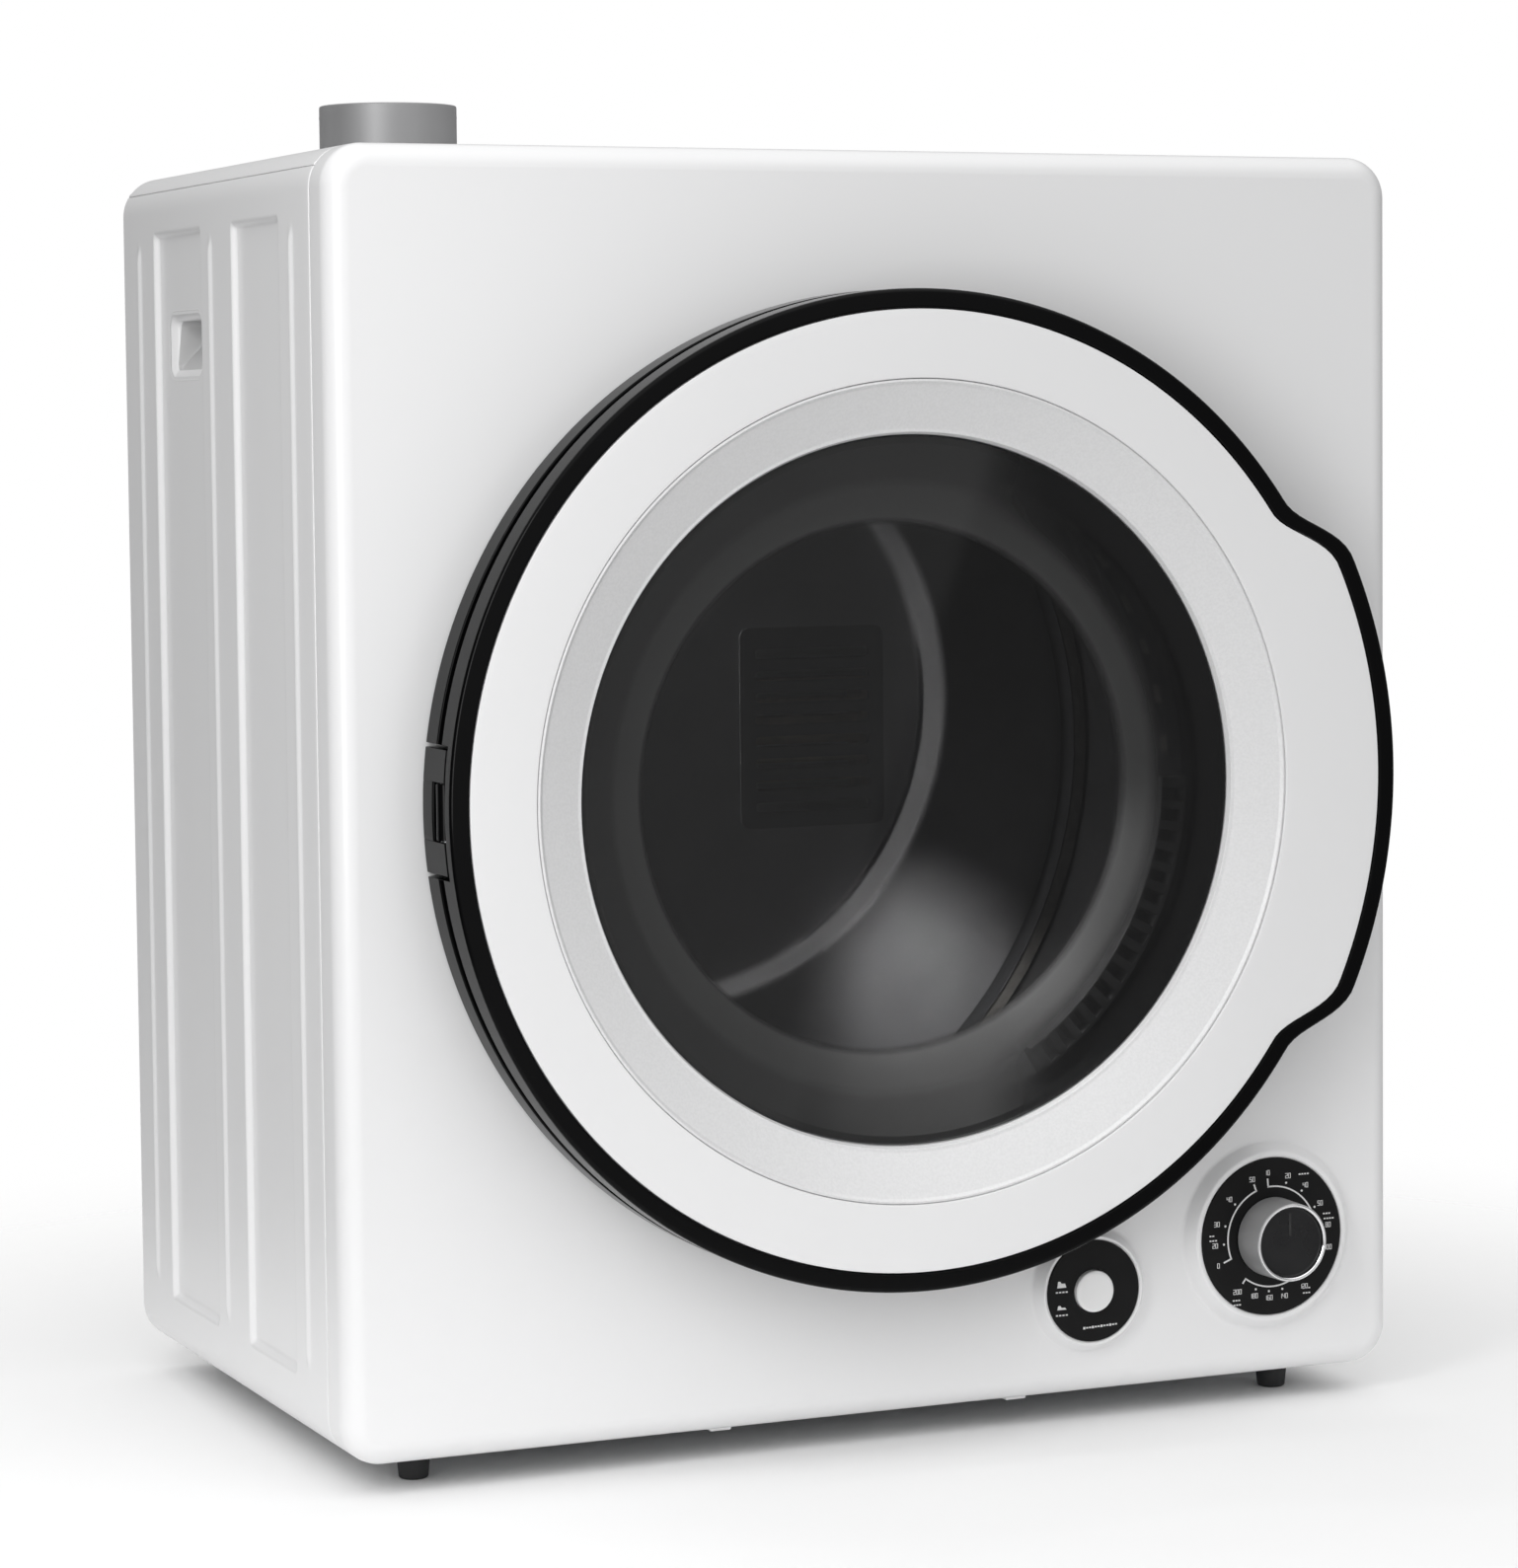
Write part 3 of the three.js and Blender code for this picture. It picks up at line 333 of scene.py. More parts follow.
def by_radius(m, sock, steps, clear=None):
    """Drives a shader input by the distance from the door axis, in millimetres: ((radius, value), ...).
    clear = (value, first radius, full radius): value taken over on the handle side of the ring, which paints shade on
    that side."""
    nt = m.node_tree
    tc = nt.nodes.new("ShaderNodeTexCoord")
    sub = nt.nodes.new("ShaderNodeVectorMath")
    sub.operation = "MULTIPLY_ADD"
    sub.inputs[1].default_value = (1, 0, 1)
    sub.inputs[2].default_value = (-X0, 0, -(AX / 1000 + Z0))
    nt.links.new(tc.outputs["Object"], sub.inputs[0])
    ln = nt.nodes.new("ShaderNodeVectorMath")
    ln.operation = "LENGTH"
    nt.links.new(sub.outputs["Vector"], ln.inputs[0])
    rp = nt.nodes.new("ShaderNodeValToRGB")
    mr = nt.nodes.new("ShaderNodeMapRange")
    mr.inputs["From Min"].default_value, mr.inputs["From Max"].default_value = 0.120, 0.190
    nt.links.new(ln.outputs["Value"], mr.inputs["Value"])
    nt.links.new(mr.outputs["Result"], rp.inputs["Fac"])
    el = rp.color_ramp.elements
    while len(el) < len(steps):
        el.new(0.5)
    for e, (r, v) in zip(el, steps):
        e.position = min(max((r - 120) / 70, 0), 1)
        e.color = (v, v, v, 1)
    out = rp.outputs["Color"]
    # painted shade: on the handle side of the ring the value is taken over, which darkens that side
    if clear:
        sx = nt.nodes.new("ShaderNodeSeparateXYZ")
        nt.links.new(sub.outputs["Vector"], sx.inputs[0])
        side = nt.nodes.new("ShaderNodeMapRange")
        side.interpolation_type = "SMOOTHSTEP"
        side.inputs["From Min"].default_value, side.inputs["From Max"].default_value = 0.035, 0.125
        nt.links.new(sx.outputs["X"], side.inputs["Value"])
        band = nt.nodes.new("ShaderNodeMapRange")
        band.interpolation_type = "SMOOTHSTEP"
        band.inputs["From Min"].default_value, band.inputs["From Max"].default_value = clear[1] / 1000, clear[2] / 1000
        nt.links.new(ln.outputs["Value"], band.inputs["Value"])
        both = nt.nodes.new("ShaderNodeMath")
        both.operation = "MULTIPLY"
        nt.links.new(side.outputs["Result"], both.inputs[0])
        nt.links.new(band.outputs["Result"], both.inputs[1])
        mx = nt.nodes.new("ShaderNodeMix")
        mx.data_type = "RGBA"
        nt.links.new(both.outputs[0], mx.inputs[0])
        nt.links.new(out, mx.inputs[6])
        mx.inputs[7].default_value = (clear[0], clear[0], clear[0], 1)
        out = mx.outputs[2]
    nt.links.new(out, m.node_tree.nodes["Principled BSDF"].inputs[sock])


# painted shade: the window turns nearly opaque black at its outer edge on the handle side
by_radius(MAT["window_glass"], "Alpha", ((120, 0.5), (190, 0.5)), (0.93, 164, 171))
# painted reflection: the light grey base colour over the bowl wall stands in for the glass wall's reflections; painted
# shade: the wall is made darker on the handle side
by_radius(MAT["bowl_glass"], "Alpha", ((120, 0.05), (137.5, 0.08), (142, 0.85), (158, 0.78), (163, 0.7), (182, 0.72)), (0.1, 150, 162))
by_radius(MAT["bowl_glass"], "Base Color", ((120, 0.02), (138, 0.03), (142, 0.62), (157, 0.58), (164, 0.42), (184, 0.36)), (0.02, 150, 162))
MAT["knob_face"] = principled("knob_face", (0.02, 0.02, 0.021), 0.28, 0.6, vary=0.1, scale=60, rvary=0.04, bump=(700, 0.01), bstrength=0.1)
MAT["chrome_edge"] = principled("chrome_edge", (0.86, 0.86, 0.87), 0.16, 1.0, vary=0.02, scale=40, rvary=0.04)
MAT["print_white"] = principled("print_white", (0.72, 0.72, 0.72), 0.6, vary=0.05, scale=900, bump=(900, 0.0))
MAT["drum_steel"] = principled("drum_steel", (0.2, 0.2, 0.205), 0.4, 0.85, vary=0.08, scale=25, rvary=0.08, bump=(160, 0.03), bstrength=0.25, stretch=(1, 0.15, 1))
MAT["bulkhead_rear"] = principled("bulkhead_rear", (0.27, 0.27, 0.275), 0.6, 0.1, vary=0.08, scale=25, bump=(800, 0.01), bstrength=0.12)
MAT["bulkhead_dark"] = principled("bulkhead_dark", (0.1, 0.1, 0.102), 0.5, 0.2, vary=0.08, scale=25, bump=(800, 0.01), bstrength=0.12)
# grip pocket inside: the enamel made darker as painted shade
MAT["grip_shade"] = principled("grip_shade", (0.55, 0.55, 0.552), 0.5, vary=0.01, scale=8, bump=(520, 0.012), bstrength=0.1)
MAT["grille_grey"] = principled("grille_grey", (0.22, 0.22, 0.222), 0.45, vary=0.06, scale=30, bump=(1500, 0.03), bstrength=0.2)
MAT["lamp_dark"] = principled("seam_dark", (0.02, 0.02, 0.02), 0.8, vary=0.1, scale=30)

# every CAD node that stays visible gets its slot's procedural material
slot_of = {s["node"]: s["material_slot"] for s in frame["record"]["subparts"]}
for name, ob in frame["nodes"].items():
    ob.data.materials.clear()
    ob.data.materials.append(MAT[slot_of[name]])
frame["nodes"]["drum_shell"].data.materials[0] = MAT["drum_steel"]

# ------------------------------------------------------------------ camera, floor and light
scene = bpy.context.scene
cam = bpy.data.cameras.new("camera")
cam_ob = bpy.data.objects.new("camera", cam)
scene.collection.objects.link(cam_ob)
scene.camera = cam_ob
YAW, PITCH, ROLL = 23.512 * RAD, 3.822 * RAD, -0.565 * RAD
CAM_MM = (-705.4 - 305, -2150.6, 527.5)
fw = Vector((math.sin(YAW) * math.cos(PITCH), math.cos(YAW) * math.cos(PITCH), -math.sin(PITCH)))
rt = Vector((math.cos(YAW), -math.sin(YAW), 0))
up = rt.cross(fw)
r2 = math.cos(ROLL) * rt + math.sin(ROLL) * up
u2 = -math.sin(ROLL) * rt + math.cos(ROLL) * up
cam_ob.matrix_world = Matrix.Translation((CAM_MM[0] / 1000 + X0, CAM_MM[1] / 1000 + Y0, CAM_MM[2] / 1000 + Z0)) @ Matrix((r2, u2, -fw)).transposed().to_4x4()
cam.sensor_width = 36
cam.lens = 4601 / 1589 * 36
cam.shift_y = -64 / 1589
cam.clip_start, cam.clip_end = 0.05, 60

floor_me = bpy.data.meshes.new("floor")
S = 3
floor_me.from_pydata([(-S, -S, 0), (S, -S, 0), (S, S, 0), (-S, S, 0)], [], [(0, 1, 2, 3)])
floor = bpy.data.objects.new("floor", floor_me)
scene.collection.objects.link(floor)
fm = principled("floor_white", (0.97, 0.97, 0.97), 0.8, vary=0.004, scale=2, rvary=0.03, bump=(60, 0.0), spec=0.2)
ft = fm.node_tree
fb = ft.nodes["Principled BSDF"]
ftc = ft.nodes.new("ShaderNodeTexCoord")
flen = ft.nodes.new("ShaderNodeVectorMath")
flen.operation = "LENGTH"
ft.links.new(ftc.outputs["Object"], flen.inputs[0])
fr = ft.nodes.new("ShaderNodeMapRange")
fr.interpolation_type = "SMOOTHSTEP"
for k_, v_ in (("From Min", 0.32), ("From Max", 0.95), ("To Min", 1.0), ("To Max", 0.0)):
    fr.inputs[k_].default_value = v_
ft.links.new(flen.outputs["Value"], fr.inputs["Value"])
ft.links.new(fr.outputs["Result"], fb.inputs["Alpha"])
floor_me.materials.append(fm)

world = bpy.data.worlds.new("world")
scene.world = world
world.use_nodes = True
wt = world.node_tree
WL = wt.links.new
wn = wt.nodes["Background"]
wtc = wt.nodes.new("ShaderNodeTexCoord")
wnorm = wt.nodes.new("ShaderNodeVectorMath")
wnorm.operation = "NORMALIZE"
WL(wtc.outputs["Generated"], wnorm.inputs[0])


def lobe(direction, a, b, lo, hi, kind="SMOOTHSTEP"):
    """Soft light from a direction: lo where the cosine is under a, hi over b."""
    d = wt.nodes.new("ShaderNodeVectorMath")
    d.operation = "DOT_PRODUCT"
    d.inputs[1].default_value = direction
    WL(wnorm.outputs["Vector"], d.inputs[0])
    r = wt.nodes.new("ShaderNodeMapRange")
    r.interpolation_type = kind
    for k, v in (("From Min", a), ("From Max", b), ("To Min", lo), ("To Max", hi)):
        r.inputs[k].default_value = v
    WL(d.outputs["Value"], r.inputs["Value"])
    return r.outputs["Result"]


def wmath(op, a, b):
    n = wt.nodes.new("ShaderNodeMath")
    n.operation = op
    for k, v in enumerate((a, b)):
        if isinstance(v, (int, float)):
            n.inputs[k].default_value = v
        else:
            WL(v, n.inputs[k])
    return n.outputs[0]


# studio: soft room in front of the machine, brighter to the left of a vertical curtain edge, dim at its far left, soft ceiling
WORLD_BACK, WORLD_TOP, FRONT_L, FRONT_R = 0.3, 0.95, 0.66, 0.32
light = wmath("ADD", lobe((0.36, 0.92, 0.15), 0.15, 0.85, 0.0, WORLD_BACK), lobe((0, 0, 1), 0.35, 0.95, 0.0, WORLD_TOP))
front = lobe((0.9547, 0.0, -0.2975), 0.4266, 0.4300, FRONT_L, FRONT_R, "LINEAR")
front = wmath("MULTIPLY", front, lobe((0, -1, 0), -0.35, 0.45, 0.0, 1.0))
front = wmath("MULTIPLY", front, lobe((-1, 0.1, 0), 0.35, 0.95, 1.0, 0.35))
light = wmath("ADD", light, front)
lp = wt.nodes.new("ShaderNodeLightPath")
mixw = wt.nodes.new("ShaderNodeMix")
mixw.data_type = "FLOAT"
WL(lp.outputs["Is Camera Ray"], mixw.inputs[0])
WL(light, mixw.inputs[2])
mixw.inputs[3].default_value = 1.0
wn.inputs["Color"].default_value = (1, 1, 1, 1)
WL(mixw.outputs[0], wn.inputs["Strength"])


def area(name, loc, target, size, power, size_y=None):
    li = bpy.data.lights.new(name, "AREA")
    li.shape = "RECTANGLE"
    li.size, li.size_y = size, size_y or size
    li.energy = power
    ob = bpy.data.objects.new(name, li)
    scene.collection.objects.link(ob)
    ob.location = loc
    ob.rotation_mode = "QUATERNION"
    ob.rotation_quaternion = (Vector(target) - Vector(loc)).to_track_quat("-Z", "Y")
    return ob


area("key", (-1.1, -0.94, 0.78), (-0.1, -0.16, 0.42), 0.4, 8.6, 1.2)
area("rim", (-1.9, 1.6, 1.5), (-0.3, 0.1, 0.4), 0.8, 2, 1.4)


def small_spot(name, at, to, power, angle, soft):
    """A small lamp inside the machine, in cabinet millimetres."""
    lamp = bpy.data.lights.new(name, "SPOT")
    lamp.energy, lamp.spot_size, lamp.spot_blend, lamp.shadow_soft_size = power, angle * RAD, 1.0, soft
    ob = bpy.data.objects.new(name, lamp)
    scene.collection.objects.link(ob)
    f = lambda q: Vector((q[0] / 1000 + X0, q[1] / 1000 + Y0, q[2] / 1000 + Z0))
    ob.location = f(at)
    ob.rotation_mode = "QUATERNION"
    ob.rotation_quaternion = (f(to) - f(at)).to_track_quat("-Z", "Y")


small_spot("drum_glow", (112, 150, 320), (160, 286, 170), 5.2, 46, 0.025)
small_spot("pan_edge", (-82, 306.8, 513), (55, 303.5, 255), 5.5, 124, 0.002)
small_spot("grille_glow", (40, -6, 330), (150, 6, 232), 0.26, 90, 0.01)
small_spot("bowl_glow", (35, -8, 400), (50, -14, 180), 1.5, 60, 0.02)
scene.view_settings.view_transform = "Standard"
scene.view_settings.look = "None"
scene.view_settings.exposure = 0.0
scene.view_settings.gamma = 1.0

# ------------------------------------------------------------------ cabinet front: rounded tray with rolled edges, bosses and door opening
HALF = W / 2
CR, ER, SEAM = 22.0, 12.0, 28.0
N_HOLE = 160


def circle(cx, cz, r, n=N_HOLE):
    return [(cx + r * math.cos(2 * math.pi * i / n), cz + r * math.sin(2 * math.pi * i / n)) for i in range(n)]


def tray_ring(inset, y):
    r = max(CR - inset, 2.0)
    return [(x, y, z) for x, z in rrect(-HALF + inset, HALF - inset, inset, H - inset, r, 14)]


m = Mesh()
roll = [(ER * (1 - math.sin(t)), ER * (1 - math.cos(t))) for t in [math.pi / 2 * i / 10 for i in range(11)]]
rings = [tray_ring(ER, 0.0)] + [tray_ring(i, y) for i, y in roll[1:]]
rings += [tray_ring(0, 20), tray_ring(0, SEAM - 0.8), tray_ring(0.25, SEAM - 0.25), tray_ring(0.9, SEAM), tray_ring(14, SEAM), tray_ring(14, SEAM - 1.2), tray_ring(1.4, SEAM - 1.2)]
m.rings(rings)
DOOR_HOLE, LATCH = 207.0, rrect(232, 249, 319, 347, 3, 4)
m.sheet([(p[0], p[2]) for p in rings[0]], [circle(0, AX, DOOR_HOLE), circle(DIAL[0], DIAL[2], 54.6), circle(BTN[0], BTN[2], 36.8), LATCH], y=0.0)
m.lathe([(DOOR_HOLE, 0), (206.2, 0.15), (205.5, 0.6), (205.1, 1.3), (205, 2.2), (205, 10.5)], 0, AX, n=N_HOLE, closed=False)
m.rings([[(x, 0, z) for x, z in LATCH], [(x, 1.6, z) for x, z in LATCH]])


def boss(cx, cz, r_foot, r_top, r_seat, depth, r_hole):
    d = depth
    foot = fillet([(r_foot + 3.5, 0), (r_foot, 0, 2.6), (r_top, -7, 2.2), (r_seat + 0.9, -7, 0.0), (r_seat, -6.4, 0.5), (r_seat, d, 0.25), (r_hole, d)], 6, closed=False)
    foot = [(r_foot + 2.75, 0)] + foot[1:]
    m.lathe(foot, cx, cz, n=N_HOLE, closed=False)
    m.lathe([(r_hole, d), (r_hole, 2.5)], cx, cz, n=N_HOLE, closed=False)


boss(DIAL[0], DIAL[2], 51.85, 46.5, 43.7, -6.0, 5.0)
boss(BTN[0], BTN[2], 34.05, 29.6, 27.9, -6.0, 12.0)
for x0, x1 in ((-101, -87), (72, 86)):
    m.prism([(x0, 0.8), (x0 + 1.4, -2.5), (x1 - 1.4, -2.5), (x1, 0.8)], 15, 24, 0.5, 2)
m.build("front_panel_skin", MAT["white_enamel"], "cabinet", ("front_panel",), "white_enamel", angle=50)

# ------------------------------------------------------------------ side panels: one pressed sheet each, with recesses and a grip window
SIDE0 = 28.8
TOPA = 30.0  # degrees up the top bend where the side panel ends
GRIP = (228.0, 288.0, 553.0, 587.0)


def sm(t):
    t = np.clip(t, 0, 1)
    return t * t * t * (t * (6 * t - 15) + 10)


def recess(y, z, y0, y1, z0, z1, slope_y0, slope_y1, slope_z, r, depth):
    """Depth of a pressed recess with rounded corners: 0 outside, depth inside; each end has its own slope width."""
    a = np.clip((y - y0) / slope_y0, 0, 1)
    b = np.clip((y1 - y) / slope_y1, 0, 1)
    c = np.clip((z - z0) / slope_z, 0, 1)
    d = np.clip((z1 - z) / slope_z, 0, 1)
    u = 1 - np.minimum(a, b)
    w = 1 - np.minimum(c, d)
    e = np.sqrt(u ** 2 + w ** 2)
    # rounded outer corner: the slope's own iso-lines are arcs there
    return depth * sm(1 - e)


def rib(y, z, yc, z0, z1, half, height):
    """A narrow raised rib that fades out at its ends."""
    a = np.clip(1 - abs(y - yc) / half, 0, 1)
    c = np.clip((z - z0) / 14, 0, 1) * np.clip((z1 - z) / 14, 0, 1)
    return height * sm(a) * sm(c)


def relief(y, z):
    d = np.zeros(np.broadcast(y, z).shape)
    d = np.maximum(d, recess(y, z, 79, 162.4, 35, 633, 3.6, 4.2, 4, 10, 3.2))
    d = np.maximum(d, recess(y, z, 217, 308.4, 35, 633, 3.6, 4.2, 4, 10, 3.2))
    return d - rib(y, z, 58.5, 38, 630, 5.0, 1.5) - rib(y, z, 199.5, 38, 630, 5.0, 1.5) - rib(y, z, 336, 38, 630, 5.0, 1.5)


def side_panel(sign, name, replaced):
    m = Mesh()
    ys = np.unique(np.round(np.concatenate([np.arange(SIDE0 + 0.8, 53, 5), np.arange(53, 64.1, 0.7), [70, 76], np.arange(77, 84, 0.6), np.arange(90, 156, 8), np.arange(157, 164, 0.6), [170, 180, 190], np.arange(194, 205.1, 0.7), [210], np.arange(215.6, 221, 0.6), [GRIP[0] - 5], np.arange(228, 289, 6), [GRIP[1] + 4.5], [298], np.arange(303, 310, 0.6), [316, 325], np.arange(330.5, 342, 0.7), np.arange(346, 367, 5.5), [368.0]]), 3))
    zs = np.unique(np.round(np.concatenate([np.arange(22, 34, 4), np.arange(34, 50, 1.3), np.arange(50, 62, 2.5), np.arange(62, 545, 23), [548.0], np.arange(553, 588, 8.5), [592.0], np.arange(600, 608, 8), np.arange(608, 622, 2.5), np.arange(622, 637, 1.3), np.arange(638, 644.1, 2)]), 3))
    gy0, gy1 = ys[np.searchsorted(ys, GRIP[0] - 5)], ys[np.searchsorted(ys, GRIP[1] + 4.5)]
    gz0, gz1 = 548.0, 592.0
    # outline parameter: flange, lower bend, flat, upper bend
    path = [(273, 1.2), (273, 0.0)] + [(HALF - CR + CR * math.cos(t * RAD), CR + CR * math.sin(t * RAD)) for t in np.linspace(-90, 0, 13)][:-1]
    flat0 = len(path)
    path += [(HALF, z) for z in zs]
    path = [p for i, p in enumerate(path)]
    path += [(HALF - CR + CR * math.cos(t * RAD), H - CR + CR * math.sin(t * RAD)) for t in np.linspace(0, TOPA, 6)[1:]]
    # small inward hem at the seam
    tt = TOPA * RAD
    ex, ez = HALF - CR + (CR - 1.4) * math.cos(tt), H - CR + (CR - 1.4) * math.sin(tt)
    path += [(HALF - CR + (CR - 0.3) * math.cos(tt + 0.03), H - CR + (CR - 0.3) * math.sin(tt + 0.03)), (ex, ez)]
    P = np.array(path)
    npth, ny = len(P), len(ys)
    X = np.repeat(P[:, 0:1], ny, 1)
    Z = np.repeat(P[:, 1:2], ny, 1)
    Y = np.repeat(ys[None, :], npth, 0)
    on = np.zeros(npth, bool)
    on[flat0:flat0 + len(zs)] = True
    R = relief(Y, Z)
    X[on] -= R[on]
    verts = [(sign * X[i, j], Y[i, j], Z[i, j]) for i in range(npth) for j in range(ny)]
    faces = []
    jj0, jj1 = int(np.searchsorted(ys, gy0)), int(np.searchsorted(ys, gy1))
    i0 = flat0 + int(np.argmin(abs(zs - gz0)))
    i1 = flat0 + int(np.argmin(abs(zs - gz1)))
    for i in range(npth - 1):
        for j in range(ny - 1):
            if i0 <= i < i1 and jj0 <= j < jj1:
                continue
            a = i * ny + j
            f = (a, a + 1, a + ny + 1, a + ny)
            faces.append(f if sign < 0 else f[::-1])
    m.add(verts, faces)
    # front and rear edges folded inwards
    for y_edge, y_in, jcol in ((SIDE0 + 0.8, SIDE0, 0), (368.0, 368.0, ny - 1)):
        col = [(sign * X[i, jcol], Y[i, jcol], Z[i, jcol]) for i in range(npth)]
        c0 = np.array([HALF - 40.0, H / 2])
        fold = []
        for k, (d_in, yy) in enumerate(((0.35, y_in + (0.25 if jcol == 0 else 0.0)), (1.1, y_in), (13.0, y_in), (13.0, y_in + (1.2 if jcol == 0 else -1.2)))):
            row = []
            for i in range(npth):
                x, z = X[i, jcol], Z[i, jcol]
                nx, nz = 0.0, 0.0
                if z < CR:
                    nx, nz = (x - (HALF - CR)), (z - CR)
                elif z > H - CR:
                    nx, nz = (x - (HALF - CR)), (z - (H - CR))
                else:
                    nx, nz = 1.0, 0.0
                if x < HALF - CR:
                    nx = 0.0
                ln = math.hypot(nx, nz) or 1.0
                row.append((sign * (x - nx / ln * d_in), yy, z - nz / ln * d_in))
            fold.append(row)
        m.rings([col] + fold, closed=False)
    # block round the grip window: the same border points as the grid, and the window's outline
    win = rrect(GRIP[0], GRIP[1], GRIP[2], GRIP[3], 7.0, 8)
    xf = HALF - 4.0
    bord = [(ys[j], gz0) for j in range(jj0, jj1)] + [(gy1, zs[i - flat0]) for i in range(i0, i1)] + [(ys[j], gz1) for j in range(jj1, jj0, -1)] + [(gy0, zs[i - flat0]) for i in range(i1, i0, -1)]
    tris = tessellate_polygon([[Vector((a, b, 0)) for a, b in bord], [Vector((a, b, 0)) for a, b in win]])
    flat = bord + win
    rel = relief(np.array([p[0] for p in flat]), np.array([p[1] for p in flat]))
    m.add([(sign * (HALF - r), a, b) for (a, b), r in zip(flat, rel)], [tuple(t) for t in tris])
    m.build(name, MAT["white_enamel"], "cabinet", (replaced,), "white_enamel", angle=50)

    # grip cup: rolled lip round the window, a pocket that deepens upwards; its inside is a darker enamel, painted shade
    m = Mesh()
    y0, y1, z0, z1 = GRIP
    def loop(inset, depth_fn, r=7.0):
        pts = rrect(y0 + inset, y1 - inset, z0 + inset, z1 - inset, max(r - inset * 0.6, 2.0), 8)
        return [(sign * (xf - depth_fn(b)), a, b) for a, b in pts]
    lip = [loop(-3.2, lambda b: -0.02, 9.5), loop(-2.7, lambda b: -0.75, 9.0), loop(-1.8, lambda b: -1.0, 8.4), loop(0.4, lambda b: 0.2, 7.6), loop(3.2, lambda b: 2.0, 6.0)]
    def deep(t):
        return lambda b: 2.0 + t * (2.0 + 27.0 * max(0.0, min(1.0, (b - z0 - 3.0) / (z1 - z0 - 6.0))) ** 1.25)
    body = [loop(3.6 + 0.2 * t, deep(t), 5.6) for t in (0.1, 0.3, 0.6, 0.85)]
    tail = [loop(4.0, deep(0.95)), loop(4.6, deep(0.99)), loop(5.6, deep(1.0))]
    rings = lip + body + tail
    m.rings(lip + body[:1])
    # painted shade: the pocket's inside takes the darker grip enamel
    m.slot = 1
    m.rings(body + tail)
    last = rings[-1]
    m.add(last, [tuple(range(len(last)))])
    side = "left" if sign < 0 else "right"
    m.build(side + "_grip_cup_skin", [MAT["white_enamel"], MAT["grip_shade"]], "cabinet", (side + "_grip_cup",), "white_enamel", angle=60)


side_panel(-1, "left_side_skin", "left_side_panel")
side_panel(1, "right_side_skin", "right_side_panel")

# ------------------------------------------------------------------ top panel: wraps over both bends, with the outlet hole
m = Mesh()
prof = [(-(HALF - CR) - CR * math.cos(t * RAD), H - CR + CR * math.sin(t * RAD)) for t in np.linspace(TOPA + 2.0, 90, 14)]
left = prof
t0 = (TOPA + 2.0) * RAD
hem = [(-(HALF - CR) - (CR - 1.5) * math.cos(t0), H - CR + (CR - 1.5) * math.sin(t0)), (-(HALF - CR) - (CR + 0.15) * math.cos(t0 + 0.005), H - CR + (CR + 0.15) * math.sin(t0 + 0.005)), (-(HALF - CR) - (CR + 0.35) * math.cos(t0 + 0.045), H - CR + (CR + 0.35) * math.sin(t0 + 0.045)), (-(HALF - CR) - (CR + 0.1) * math.cos(t0 + 0.11), H - CR + (CR + 0.1) * math.sin(t0 + 0.11))]
left = hem + prof[1:]
right = [(-x, z) for x, z in reversed(left)]


def top_ring(y, dz=0.0, dn=0.0):
    out = []
    for x, z in left + right:
        sx = -1 if x < 0 else 1
        nx, nz = (abs(x) - (HALF - CR), z - (H - CR))
        ln = math.hypot(nx, nz) or 1
        out.append((x - sx * nx / ln * dn, y, z - nz / ln * dn))
    return out


nl = len(left)
y_a, y_b = SIDE0, float(D)
rows = [top_ring(y_a + 1.2, dn=1.2 + 10), top_ring(y_a, dn=11), top_ring(y_a, dn=1.1), top_ring(y_a + 0.25, dn=0.35), top_ring(y_a + 0.9)]
rows2 = [top_ring(y_b - 0.9), top_ring(y_b - 0.25, dn=0.35), top_ring(y_b, dn=1.1), top_ring(y_b, dn=12), top_ring(y_b - 1.2, dn=12)]
m.rings(rows, closed=False)
m.rings(rows2, closed=False)
strip = [rows[-1]] + [top_ring(y) for y in np.linspace(y_a + 0.9, y_b - 0.9, 12)[1:-1]] + [rows2[0]]
for sl in (slice(0, nl), slice(nl, 2 * nl)):
    m.rings([r[sl] for r in strip], closed=False)
ex = HALF - CR
outer = [(p[nl - 1][0], p[nl - 1][1]) for p in strip] + [(p[nl][0], p[nl][1]) for p in reversed(strip)]
HP = 42.5
m.sheet(outer, [circle(PIPE[0], PIPE[1], HP)], z=H)
m.lathe(fillet([(HP, H), (41.0, H, 0.0), (39.4, H + 1.4, 1.2), (39.4, H - 8)], 6, closed=False), PIPE[0], n=N_HOLE, closed=False, axis="z", cy=PIPE[1])
m.build("top_skin", MAT["white_enamel"], "cabinet", ("top_panel",), "white_enamel", angle=50)

# ------------------------------------------------------------------ exhaust pipe
m = Mesh()
po, pi_ = 39.0, 37.9
prof = [(po, 599.5), (po, 690), (po, PIPE_TOP - 7.5), (po + 0.12, PIPE_TOP - 6.5), (po, PIPE_TOP - 5.5), (po, PIPE_TOP - 0.9), (po - 0.2, PIPE_TOP - 0.3), (po - 0.6, PIPE_TOP - 0.02), (pi_ + 0.1, PIPE_TOP - 0.3), (pi_, PIPE_TOP - 1.0), (pi_, 599.5)]
m.lathe(prof, PIPE[0], n=160, axis="z", cy=PIPE[1])
m.build("exhaust_pipe_skin", MAT["exhaust_metal"], "cabinet", ("exhaust_pipe",), "exhaust_metal", angle=50)

# ------------------------------------------------------------------ door
BULGE, B_IN, B_OUT = 21.5, 24.5, 34.5
WIN_Y = mm("door_window")[0][1]


def bulge_at(deg):
    a = abs(((deg + 540) % 360) - 180)
    if a <= B_IN:
        return 1.0
    if a >= B_OUT:
        return 0.0
    t = (B_OUT - a) / (B_OUT - B_IN)
    return t * t * (3 - 2 * t)


